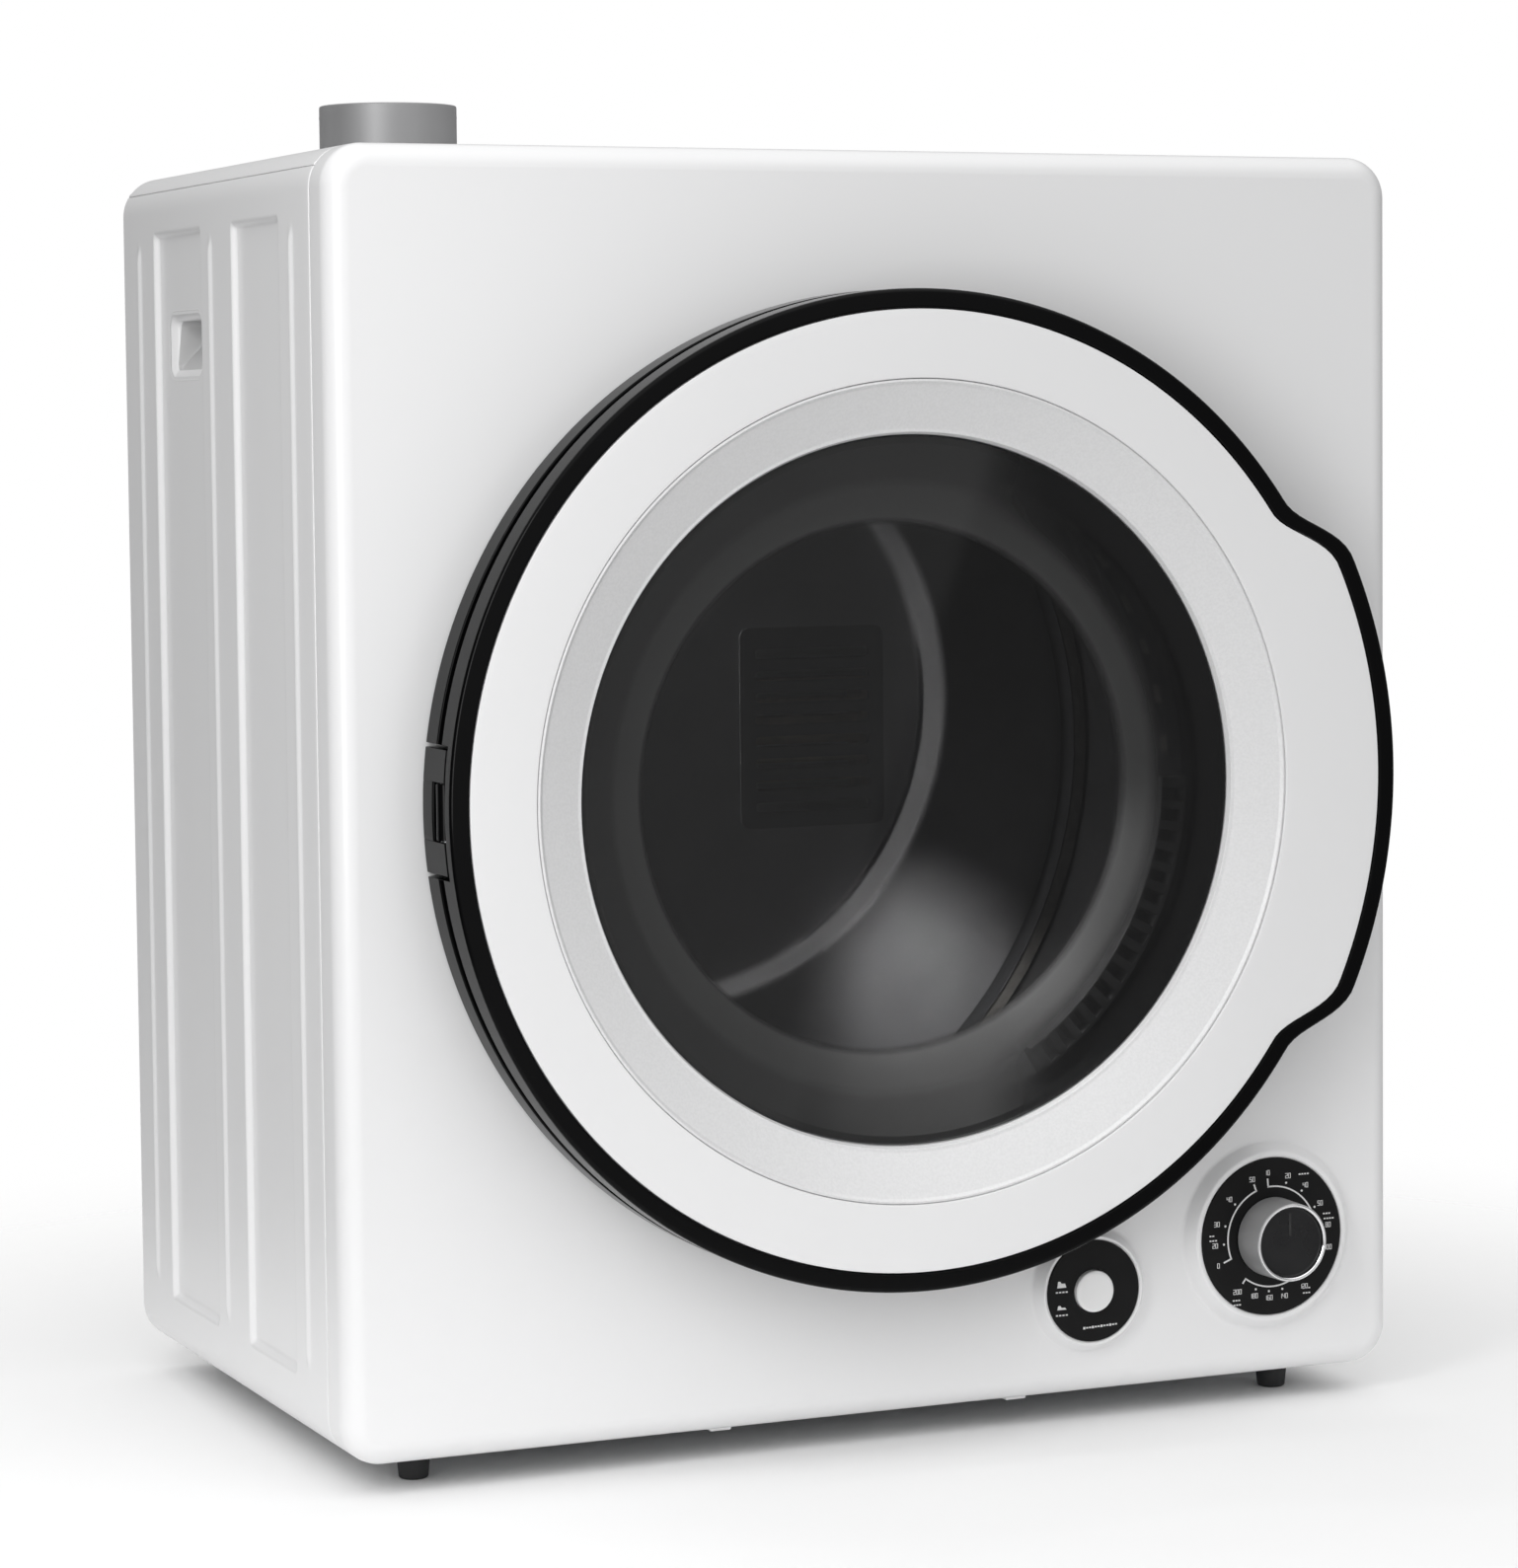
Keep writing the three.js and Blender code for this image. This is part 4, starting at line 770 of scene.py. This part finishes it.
def door_ring(m, profile, n=360, notch=None, wrap=True):
    """profile of (radius, y, share of the handle bulge); notch = (half height, depth it leaves) at the hinge."""
    rings = []
    angs = list(np.linspace(0, 360, n, endpoint=False))
    if notch:
        half = math.degrees(math.asin(notch[0] / 257))
        angs = sorted(angs + [180 - half - 0.02, 180 - half + 0.02, 180 + half - 0.02, 180 + half + 0.02])
    for d in angs:
        b = BULGE * bulge_at(d)
        cut_ = notch and abs(d - 180) < half
        ring = []
        for r, y, s in profile:
            yy = min(y, notch[1]) if cut_ else y
            R = r + b * s
            ring.append((R * math.cos(d * RAD), yy, AX + R * math.sin(d * RAD)))
        rings.append(ring)
    return m.rings(rings, wrap=wrap)


m = Mesh()
NOTCH = (33.4, -35.0)


def ring_prof(pts, share, seg=5):
    return [(a, b, share) for a, b in fillet(pts, seg)]


door_ring(m, ring_prof([(250.2, -17.2), (250.2, -42.8, 0.3), (251.0, -43, 0.4), (260, -43, 2.6), (260, -25.2, 0.8), (256.6, -25.2, 0.5), (256.6, -18.3, 0.5), (257.2, -17.2, 0.4)], 1.0), notch=NOTCH)
door_ring(m, ring_prof([(250.3, -17.4, 0.3), (260, -18.6, 1.0), (260, -1.5, 1.2), (250.3, -1.5, 0.6)], 0.0), notch=NOTCH)
m.build("door_rim_skin", MAT["rim_black"], "door", ("door_rim",), "rim_black", angle=40)

m = Mesh()
door_ring(m, [(a, b, s) for a, b, s in (
    (213.9, -40.0, 0), (213.9, -42.2, 0), (214.3, -42.85, 0), (215.2, -43.0, 0), (218, -43.05, 0), (226, -43.2, 0.15), (236, -43.2, 0.6), (245, -43.05, 1), (248.8, -42.95, 1), (249.3, -42.7, 1), (249.55, -42.1, 1), (249.6, -40.0, 1))])
m.build("door_trim_skin", MAT["trim_white"], "door", ("door_trim_ring",), "trim_white", angle=40)

# cone ring: a pale step at its outer edge, then a shallow silver cone down to the glass
m = Mesh()
prof = fillet([(213.6, -39.4), (213.6, -42.1, 0.4), (212.4, -42.6, 0.5), (210.8, -41.2, 0.8), (188.2, -32.2, 1.2), (186.4, -32.0, 0.4), (185.2, -29.2, 0.4), (185.2, -26.2), (187, -26.2), (213.6, -38.9)], 5)
m.lathe(prof, 0, AX, n=256)
m.build("door_cone_skin", MAT["cone_silver"], "door", ("door_cone_ring",), "cone_silver", angle=35)

# flat tinted window with a fine ground edge
m = Mesh()
m.lathe(fillet([(0.01, -26), (0.01, WIN_Y), (184.6, WIN_Y, 0.5), (184.6, -26, 0.5)], 3), 0, AX, n=256)
m.build("door_window_glass", MAT["window_glass"], "door", ("door_window",), "window_glass", angle=35)

# blown glass bowl: flat bottom, rounded shoulder, sloping wall, flange against the window
m = Mesh()
outer = [(0.01, 11.2), (138, 10.0, 14), (163, -4.5, 9), (182.5, -22.5, 3), (184.2, -22.6), (184.2, -25.6), (180.5, -25.6, 1), (159.5, -8.2, 8), (136.5, 6.4, 12), (0.01, 7.6)]
m.lathe(fillet(outer, 8), 0, AX, n=192)
m.build("door_bowl_glass", MAT["bowl_glass"], "door", ("door_glass_bowl",), "bowl_glass", angle=40)

# inner frame and its sleeve
m = Mesh()
m.lathe(fillet([(186.6, -25.4), (189.8, -25.4, 0.4), (189.8, -12.2, 1.2), (248.8, -12.2, 0.6), (248.8, -4, 2.0), (236, -4, 1.5), (233, -5.6, 1.2), (226, -5.6, 1.2), (223, -4, 1.2), (208, -4, 1.5), (204, -6.2, 1.5), (194, -6.2, 1.5), (190, -4, 1.5), (186.6, -4, 1.2)], 4), 0, AX, n=256)
hinge_cut = (34.0, 244.6)
v = []
for x, y, z in m.v:
    dx, dz = x, z - AX
    if dx < 0 and abs(dz) < hinge_cut[0] and math.hypot(dx, dz) > 246:
        x = max(x, -244.6)
    v.append((x, y, z))
m.v = v
m.build("door_frame_skin", MAT["frame_plastic"], "door", ("door_inner_frame",), "frame_plastic", angle=40)

# seal: soft lip section
m = Mesh()
m.lathe(fillet([(209, -3.9), (209, -1.6, 1.2), (213.5, -0.7, 1.4), (216, -1.9, 1.0), (218.5, -0.7, 1.4), (222, -1.6, 1.2), (222, -3.9)], 5), 0, AX, n=224)
m.build("door_seal_skin", MAT["black_rubber"], "door", ("door_seal",), "black_rubber", angle=40)

# ------------------------------------------------------------------ controls
m = Mesh()
m.lathe(fillet([(5.2, -6.1), (5.2, -7.1), (43.0, -7.15, 0.3), (43.4, -6.1)], 3), DIAL[0], DIAL[2], n=160)
m.build("dial_plate_skin", MAT["dial_black"], "cabinet", ("dial_plate",), "dial_black", angle=40)
m = Mesh()
m.lathe(fillet([(11.9, -6.1), (11.9, -7.1), (27.3, -7.15, 0.3), (27.6, -6.1)], 3), BTN[0], BTN[2], n=128)
m.build("button_plate_skin", MAT["dial_black"], "cabinet", ("button_plate",), "dial_black", angle=40)

# printed scale: thin raised ink, a little proud of the plate
INK0, INK1 = -7.16, -7.32


def ink_arc(m, cx, cz, r, w, a0, a1, steps=None):
    """Angles in degrees, clockwise from the top as seen from the front."""
    steps = steps or max(2, int(abs(a1 - a0) / 3))
    rr = (r - w / 2, r + w / 2)
    rows = []
    for i in range(steps + 1):
        t = (a0 + (a1 - a0) * i / steps) * RAD
        s, c = math.sin(t), math.cos(t)
        rows.append([(cx + q * s, y, cz + q * c) for q, y in ((rr[0], INK0), (rr[0], INK1), (rr[1], INK1), (rr[1], INK0))])
    m.rings(rows, caps=True)


def ink_bar(m, x0, z0, x1, z1, w):
    d = Vector((x1 - x0, z1 - z0))
    d.normalize()
    n = Vector((-d.y, d.x)) * w / 2
    m.prism([(x0 - n.x, z0 - n.y), (x1 - n.x, z1 - n.y), (x1 + n.x, z1 + n.y), (x0 + n.x, z0 + n.y)], INK1, INK0)


SEGS = {"0": "abcdef", "1": "bc", "2": "abged", "3": "abgcd", "4": "fgbc", "5": "afgcd", "6": "afgedc", "7": "abc", "8": "abcdefg", "9": "abcdfg"}


def ink_number(m, text, cx, cz, h=2.6, w=1.45, gap=0.62, t=0.36):
    """Plain seven-stroke numerals."""
    total = len(text) * w + (len(text) - 1) * gap
    x = cx - total / 2
    for ch in text:
        P = {"a": ((0, 1), (1, 1)), "b": ((1, 1), (1, 0.5)), "c": ((1, 0.5), (1, 0)), "d": ((0, 0), (1, 0)), "e": ((0, 0), (0, 0.5)), "f": ((0, 0.5), (0, 1)), "g": ((0, 0.5), (1, 0.5))}
        for s in SEGS[ch]:
            (ax, az), (bx, bz) = P[s]
            ink_bar(m, x + ax * w - (t / 2 if ax < bx else 0), cz - h / 2 + az * h, x + bx * w + (t / 2 if ax < bx else 0), cz - h / 2 + bz * h, t)
        x += w + gap


m = Mesh()
RS, WS = 27.6, 0.85
ink_arc(m, DIAL[0], DIAL[2], RS, WS, -112, -21)
ink_arc(m, DIAL[0], DIAL[2], RS, WS, -5, 217)
for a, r1 in ((-112, 32.6), (-21, 31.6), (-5, 32.2), (217, 30.8)):
    s, c = math.sin(a * RAD), math.cos(a * RAD)
    ink_bar(m, DIAL[0] + (RS - WS / 2) * s, DIAL[2] + (RS - WS / 2) * c, DIAL[0] + r1 * s, DIAL[2] + r1 * c, WS)
for a in (-94, -75, -50, 17, 38, 62, 78, 104, 146, 168, 184, 200):
    s, c = math.sin(a * RAD), math.cos(a * RAD)
    m.prism([(DIAL[0] + 30.2 * s + 0.62 * math.cos(q), DIAL[2] + 30.2 * c + 0.62 * math.sin(q)) for q in np.linspace(0, 2 * math.pi, 12, endpoint=False)], INK1, INK0)
for a, txt, r in ((-112, "0", 36.2), (-94, "20", 35.6), (-75, "30", 35.6), (-50, "40", 34.8), (-21, "50", 34.6), (-5, "10", 35.4), (17, "20", 34.2), (38, "40", 34.0), (62, "50", 34.2), (84, "80", 35.4), (104, "100", 36.0), (146, "120", 35.2), (168, "140", 34.2), (184, "160", 33.8), (200, "180", 34.0), (217, "200", 36.2)):
    ink_number(m, txt, DIAL[0] + r * math.sin(a * RAD), DIAL[2] + r * math.cos(a * RAD), h=2.5, w=1.2, gap=0.6, t=0.34)
# plain rules where the plate carries small captions
for x, z, w in ((20.5, 33.0, 7.5), (35.0, 10.0, 6.0), (36.0, 7.2, 7.0), (-36.5, 3.0, 5.0), (-36.0, 0.4, 6.0), (22.5, -30.3, 6.5), (22.0, -33.0, 5.5), (-21.5, -33.6, 6.5), (-21.5, -36.1, 5.5)):
    for k in range(int(w / 1.7)):
        ink_bar(m, DIAL[0] + x - w / 2 + k * 1.7, DIAL[2] + z, DIAL[0] + x - w / 2 + k * 1.7 + 1.15, DIAL[2] + z, 0.75)
SCALE_MESH = m

m2 = Mesh()
bx, bz = BTN[0], BTN[2]
# two small generic pictograms: a raised and a flat heat mark over a rule
for k, (dz, hh) in enumerate(((5.0, 3.4), (-7.5, 2.2))):
    x = bx - 19.3
    z = bz + dz
    m2.prism([(x - 2.7, z - hh / 2), (x + 2.7, z - hh / 2), (x + 1.9, z + hh / 2 - 1.1), (x - 0.2, z + hh / 2 - 1.1), (x - 0.9, z + hh / 2), (x - 2.2, z + hh / 2)], INK1, INK0)
    for j in range(4):
        ink_bar(m2, x - 3.6 + j * 1.95, z - 4.1, x - 3.6 + j * 1.95 + 1.25, z - 4.1, 0.8)
for j in range(12):
    ink_bar(m2, bx - 6.5 + j * 1.75, bz - 19.7 + 0.06 * j, bx - 6.5 + j * 1.75 + 1.2, bz - 19.7 + 0.06 * j, 0.8 if j % 3 else 1.3)
for mm_, nm in ((SCALE_MESH, "dial_scale_print"), (m2, "button_marks_print")):
    mm_.build(nm, MAT["print_white"], "cabinet", angle=30)

# knob: tapered skirt, bright rolled rim, dished dark face with a pointer groove
m = Mesh()
kx, kz = DIAL[0], DIAL[2]
prof = [(3.0, -7.7), (21.6, -7.7, 0.4), (21.3, -28.6, 0.2)]
skirt = fillet([(3.0, 15.9), (3.0, -7.7), (21.75, -7.7, 0.4), (21.3, -28.7, 0.5), (20.9, -29.35)], 5, closed=False)
m.slot = 0
m.lathe(skirt, kx, kz, n=144, closed=False)
m.slot = 1
m.lathe(fillet([(20.9, -29.35), (20.45, -29.5, 0.3), (19.7, -29.3, 0.3), (19.35, -28.9)], 4, closed=False), kx, kz, n=144, closed=False)
m.slot = 2
face = [(19.35, -28.9)] + [(17.9 + 1.45 * math.cos(q), -28.9 + 2.2 * math.sin(q)) for q in np.linspace(0.12, math.pi / 2, 7)]
face += [(12.0, -26.55), (0.01, -26.5)]
m.lathe(face, kx, kz, n=144, closed=False)
m.lathe([(0.01, -26.5), (0.01, 15.9)], kx, kz, n=144, closed=False)
m.slot = 0
m.lathe([(0.01, 15.9), (3.0, 15.9)], kx, kz, n=144, closed=False)
m.slot = 3
m.prism(fillet([(kx - 0.75, kz + 3.5, 0.7), (kx + 0.75, kz + 3.5, 0.7), (kx + 0.75, kz + 16.2, 0.7), (kx - 0.75, kz + 16.2, 0.7)], 4), -26.75, -26.3)
m.build("timer_knob_skin", [MAT["knob_silver"], MAT["chrome_edge"], MAT["knob_face"], MAT["lamp_dark"]], "knob", ("timer_knob",), "knob_silver", angle=35, recalc=True)

m = Mesh()
m.lathe(fillet([(0.01, 13.9), (0.01, -9.1), (9.6, -9.5, 1.0), (11.25, -9.2, 1.4), (11.25, 0.0), (4, 0), (4, 13.9)], 5), bx, bz, n=96)
m.build("heat_button_skin", MAT["button_white"], "button", ("heat_button",), "button_white", angle=40)

# ------------------------------------------------------------------ hinge
hx, hy = centre("hinge_pin")[0], centre("hinge_pin")[1]
m = Mesh()
m.lathe(fillet([(3.35, 318.7), (5.1, 318.7, 0.5), (5.1, 347.3, 0.5), (3.35, 347.3)], 3), hx, n=48, axis="z", cy=hy)
m.build("hinge_knuckle_skin", MAT["rim_black"], "door", slot="rim_black", angle=40)
m = Mesh()
m.prism(fillet([(-250.4, 318.9, 1), (-222, 318.9, 4), (-222, 347.1, 4), (-250.4, 347.1, 1)], 5), -19.6, -12.5, 0.6)
m.build("hinge_arm_skin", MAT["zinc_steel"], "door", ("hinge_arm",), "zinc_steel", angle=40)
# fixed half: two cheeks flush with the rim, joined behind the knuckle, on a foot
m = Mesh()


def cheek(z0, z1, y0, y1, r0=251.2, r1=259.7, seg=10):
    prof = fillet([(r0, y1, 0.6), (r0, y0, 0.6), (r1, y0, 1.2), (r1, y1, 1.2)], 3)
    rows = []
    for k, (t, ins) in enumerate([(0, 0.5), (0.02, 0.0)] + [(q, 0.0) for q in np.linspace(0.1, 0.9, seg)] + [(0.98, 0.0), (1, 0.5)]):
        z = z0 + (z1 - z0) * t
        dz = z - AX
        row = []
        cr_, cy_ = (r0 + r1) / 2, (y0 + y1) / 2
        for r, y in prof:
            rr = r - ins * (1 if r > cr_ else -1)
            yy = y - ins * (1 if y > cy_ else -1)
            row.append((-math.sqrt(rr * rr - dz * dz), yy, z))
        rows.append(row)
    m.rings(rows, caps=True)


cheek(301.2, 318.3, -33.0, -1.0, r1=259.9)
cheek(347.7, 364.8, -33.0, -1.0, r1=259.9)
cheek(317.8, 348.2, -16.2, -1.0, r1=259.9)
m.prism(fillet([(-257.2, 303, 2), (-240, 303, 4), (-240, 363, 4), (-257.2, 363, 2)], 5), -3.3, -0.45, 0.5)
m.build("hinge_bracket_skin", MAT["rim_black"], "cabinet", ("hinge_bracket",), "dark_plastic", angle=40)
m = Mesh()
m.lathe(fillet([(0.01, 303.5), (3.0, 303.5, 0.6), (3.0, 362.5, 0.6), (0.01, 362.5)], 3), hx, n=40, axis="z", cy=hy)
m.build("hinge_pin_skin", MAT["zinc_steel"], "cabinet", ("hinge_pin",), "zinc_steel", angle=40)

# ------------------------------------------------------------------ feet
for nm in ("foot_front_left", "foot_front_right", "foot_rear_left", "foot_rear_right"):
    cx, cy, _ = centre(nm)
    m = Mesh()
    m.lathe(fillet([(0.01, -17), (7.6, -17, 1.4), (9.5, 1.4, 0.8), (4, 1.6), (4, 11.9), (0.01, 11.9)], 4), cx, n=72, axis="z", cy=cy)
    m.build(nm + "_skin", MAT["black_rubber"], "cabinet", (nm,), "black_rubber", angle=40)

# ------------------------------------------------------------------ interior: front bulkhead and air grille
BH = (-298.0, 298.0, 6.0, 660.0)
m = Mesh()
nb = N_HOLE
plate = fillet([(-277, 3.6), (79.5, 3.6), (79.5, 118.5, 4), (297.9, 118.5), (298, 640, 4), (283, 657, 4), (-283, 657, 4), (-298, 640, 4), (-298, 20), (-277, 20)], 5)
m.sheet(plate, [circle(0, AX, 191.9, nb)], y=32.1)
m.lathe([(191.9, 32.1), (191.0, 31.6), (190.7, 30.6), (204.0, 2.4), (204.25, 2.0), (204.3, 3.2)], 0, AX, n=nb, closed=False)
m.lathe([(190.7, 31.0), (190.5, 33.0), (190.5, 57.4), (190.9, 57.9), (191.6, 57.4), (191.6, 33.4)], 0, AX, n=nb, closed=False)
m.build("front_bulkhead_skin", MAT["bulkhead_grey"], "cabinet", ("front_bulkhead",), "bulkhead_grey", angle=35)

# ribbed air grille on the lower right of the collar: one block with radial slots, ribs rounded
m = Mesh()
GA0, GA1, GN, GPITCH = -58.0, -1.0, 15, 3.65


def collar_r(y):
    return 204.2 + (190.5 - 204.2) * (y - 2) / 30.0


def gpt(r, deg, y):
    return (r * math.cos(deg * RAD), y, AX + r * math.sin(deg * RAD))


R_IN, R_OUT = 172.3, 188.2
edges = [GA0]
for k in range(GN):
    t = GA0 + 3 + k * GPITCH
    edges += [t - 0.93, t + 0.93]
edges.append(GA1)
m.rings([[gpt(r, d, y) for r, y in ((R_IN, 30.6), (R_IN, 28.5), (R_OUT + 2, 28.5), (R_OUT + 2, 30.6))] for d in np.linspace(GA0, GA1, 40)], caps=True)
for a, b in zip(edges[0::2], edges[1::2]):
    rows = []
    w = b - a
    for u, dy in ((0, 1.2), (0.08, 0.45), (0.25, 0.0), (0.75, 0.0), (0.92, 0.45), (1, 1.2)):
        d = a + w * u
        y = 19.2 + dy
        rows.append([gpt(R_IN, d, 28.8), gpt(R_IN, d, y + 1.6), gpt(R_IN + 0.5, d, y + 0.5), gpt(R_IN + 1.8, d, y), gpt(186.8, d, y), gpt(188.0, d, y + 1.0), gpt(188.3, d, 28.8)])
    m.rings(rows, caps=True)
for r0, r1 in ((R_IN, 174.3), (185.7, 188.2)):
    m.rings([[gpt(r, d, y) for r, y in ((r0, 28.8), (r0, 20.4), (r0 + 0.5, 19.6), (r1 - 0.5, 19.6), (r1, 20.4), (r1, 28.8))] for d in np.linspace(GA0, GA1, 60)], caps=True)
m.build("front_air_grille_skin", MAT["grille_grey"], "cabinet", ("front_air_grille",), "bulkhead_grey", angle=35)

# rear bulkhead: plate, recessed round pan with a soft shoulder, fan inlet, hot air window, collar and roller pins
PANX, PANZ, PANR, PAND = -7.0, 362.0, 176.0, 22.0
RY = 286.0
m = Mesh()
NP = 192
plate = fillet([(-277, 3.6), (277, 3.6), (277, 20), (298, 20), (298, 545), (269, 545), (269, 595), (298, 595), (298, 640, 4), (283, 657, 4), (-112, 657), (-112, 556, 4), (-212, 556, 4), (-212, 657), (-283, 657, 4), (-298, 640, 4), (-298, 595), (-269, 595), (-269, 545), (-298, 545), (-298, 20), (-277, 20)], 4)
m.sheet(plate, [circle(PANX, PANZ, PANR + 5.0, NP), circle(-200, 70, 8.0, 32)], y=RY + 0.1)
shoulder = [(PANR + 5.0, RY + 0.1), (PANR + 3.2, RY + 0.3), (PANR + 1.6, RY + 1.0), (PANR + 0.6, RY + 2.2), (PANR, RY + 4.0), (PANR - 1.6, RY + PAND - 5.2), (PANR - 2.6, RY + PAND - 2.2), (PANR - 4.4, RY + PAND - 0.6), (PANR - 7.0, RY + PAND)]
m.lathe(shoulder, PANX, PANZ, n=NP, closed=False)
hot = rrect(53, 133, 291, 397, 4, 5)
inlet = circle(FAN[0], FAN[2], 60.2, 96)
m.sheet(circle(PANX, PANZ, PANR - 7.0, NP), [inlet, hot], y=RY + PAND)
m.rings([[(x, RY + PAND, z) for x, z in hot], [(x, RY + PAND + 1.3, z) for x, z in hot]])
m.rings([[(x, RY + PAND, z) for x, z in inlet], [(x, RY + PAND + 1.4, z) for x, z in inlet]])
m.slot = 1
m.lathe(fillet([(248.6, 286.2), (248.6, 270, 0.5), (249.9, 270, 0.5), (249.9, 286.2)], 3), 0, AX, n=NP, closed=False)
for s in (-1, 1):
    d = 282.9
    m.lathe(fillet([(0.01, 257.0), (4.9, 257.0, 0.6), (4.9, 287)], 3, closed=False), s * d * math.sin(35 * RAD), AX - d * math.cos(35 * RAD), n=40, closed=False)
m.build("rear_bulkhead_skin", [MAT["bulkhead_rear"], MAT["dark_plastic"]], "cabinet", ("rear_bulkhead",), "bulkhead_grey", angle=35)

# hot air grille in front of the heater: pressed louvres
m = Mesh()
out = rrect(46.5, 139.5, 284.5, 403.5, 6, 5)
slots = [rrect(56, 130, 294 + k * 13, 300 + k * 13, 2.9, 6) for k in range(8)]
m.sheet(out, slots, y=306.0)
m.rings([[(x, 306.0, z) for x, z in out], [(x, 307.5, z) for x, z in out]])
for sl in slots:
    m.rings([[(x, 306.0, z) for x, z in sl], [(x, 306.4, z) for x, z in sl], [(x, 307.5, z) for x, z in sl]])
m.build("hot_air_grille_skin", MAT["bulkhead_dark"], "cabinet", ("hot_air_grille",), "zinc_steel", angle=35)

# drum: rolled mouth, front wall, shell with two rolled beads, open at the back
m = Mesh()
dy0, dy1 = 44.0, 282.0
t = 1.2
outp = [(200.6, dy0 + 1.6), (200.6, dy0 + 0.6), (201.4, dy0)] + fillet([(201.4, dy0), (260, dy0, 5), (260, dy1)], 5, closed=False)[1:]
inn = fillet([(260 - t, dy1), (260 - t, dy0 + t, 4), (202.0, dy0 + t)], 5, closed=False)
prof = outp[:-1] + [(260, 100), (260, 122), (258.9, 126), (258.9, 144), (260, 148), (260, 230), (260, dy1 - 0.3), (259.6, dy1), (259.1, dy1)] + [(260 - t, dy1 - 0.5), (260 - t, 236)]
for yb in (226, 212):
    prof += [(260 - t, yb + 5), (260 - t - 1.2, yb + 2.5), (260 - t - 1.6, yb), (260 - t - 1.2, yb - 2.5), (260 - t, yb - 5)]
prof += [(260 - t, 150)] + [(260 - t - 1.1, 144), (260 - t - 1.1, 126), (260 - t, 120), (260 - t, 96)]
for yb in (84, 70):
    prof += [(260 - t, yb + 5), (260 - t - 1.2, yb + 2.5), (260 - t - 1.6, yb), (260 - t - 1.2, yb - 2.5), (260 - t, yb - 5)]
prof += inn[1:]
m.lathe(prof, 0, AX, n=224)
m.build("drum_shell_skin", MAT["drum_steel"], "drum", ("drum_shell",), "zinc_steel", angle=40)

# lifters: crowned bars with tapering ends
for i, deg in enumerate((60, 180, 300)):
    m = Mesh()
    d = (math.cos(deg * RAD), math.sin(deg * RAD))
    n = (-d[1], d[0])
    sec = [(256.5, -23.5), (251, -19.5), (243, -14.5), (234, -10.2), (226, -7.2), (220.5, -5.0), (217.4, -2.6), (216.3, 0), (217.4, 2.6), (220.5, 5.0), (226, 7.2), (234, 10.2), (243, 14.5), (251, 19.5), (256.5, 23.5)]
    rows = []
    for y, k in ((58.2, 0.2), (60, 0.5), (64, 0.78), (72, 0.93), (86, 1.0), (162, 1.0), (238, 1.0), (252, 0.93), (260, 0.78), (264, 0.5), (265.8, 0.2)):
        rows.append([((256.5 - (256.5 - r) * k) * d[0] + w * (0.55 + 0.45 * k) * n[0], y, AX + (256.5 - (256.5 - r) * k) * d[1] + w * (0.55 + 0.45 * k) * n[1]) for r, w in sec])
    m.rings(rows, caps=True)
    m.build("drum_lifter_%d_skin" % (i + 1), MAT["drum_steel"], "drum", ("drum_lifter_%d" % (i + 1),), "bulkhead_grey", angle=40)

# lint filter: rim, hub, spokes and a fine screen
m = Mesh()
fx, fz = FAN[0], FAN[2]
m.lathe(fillet([(53.2, 307), (53.2, 298.2, 0.8), (56, 297.9, 1.5), (58.9, 298.4, 1.0), (58.9, 307)], 4), fx, fz, n=128)
m.lathe(fillet([(0.01, 306.9), (0.01, 295), (9, 295.2, 2), (12, 298, 2), (12, 306.9)], 4), fx, fz, n=64)
m.lathe(fillet([(31, 304), (31, 301, 0.5), (34, 301, 0.5), (34, 304)], 3), fx, fz, n=96)
for k in range(8):
    a = k * 45 * RAD
    c, s = math.cos(a), math.sin(a)
    q = lambda u, w: (fx + u * c - w * s, fz + u * s + w * c)
    m.prism([q(11, -1.4), q(53.8, -1.4), q(53.8, 1.4), q(11, 1.4)], 301, 304, 0.4)
for k in range(48):
    a = (k + 0.5) * 7.5 * RAD
    c, s = math.cos(a), math.sin(a)
    q = lambda u, w: (fx + u * c - w * s, fz + u * s + w * c)
    m.prism([q(12, -0.22), q(53.6, -0.22), q(53.6, 0.22), q(12, 0.22)], 303.0, 303.6)
for r in (16, 20, 24, 28, 37.5, 41.5, 45.5, 49.5):
    m.lathe([(r, 303.1), (r + 0.5, 303.1), (r + 0.5, 303.7), (r, 303.7)], fx, fz, n=72)
m.build("lint_filter_skin", MAT["bulkhead_dark"], "filter", ("lint_filter",), "dark_plastic", angle=35)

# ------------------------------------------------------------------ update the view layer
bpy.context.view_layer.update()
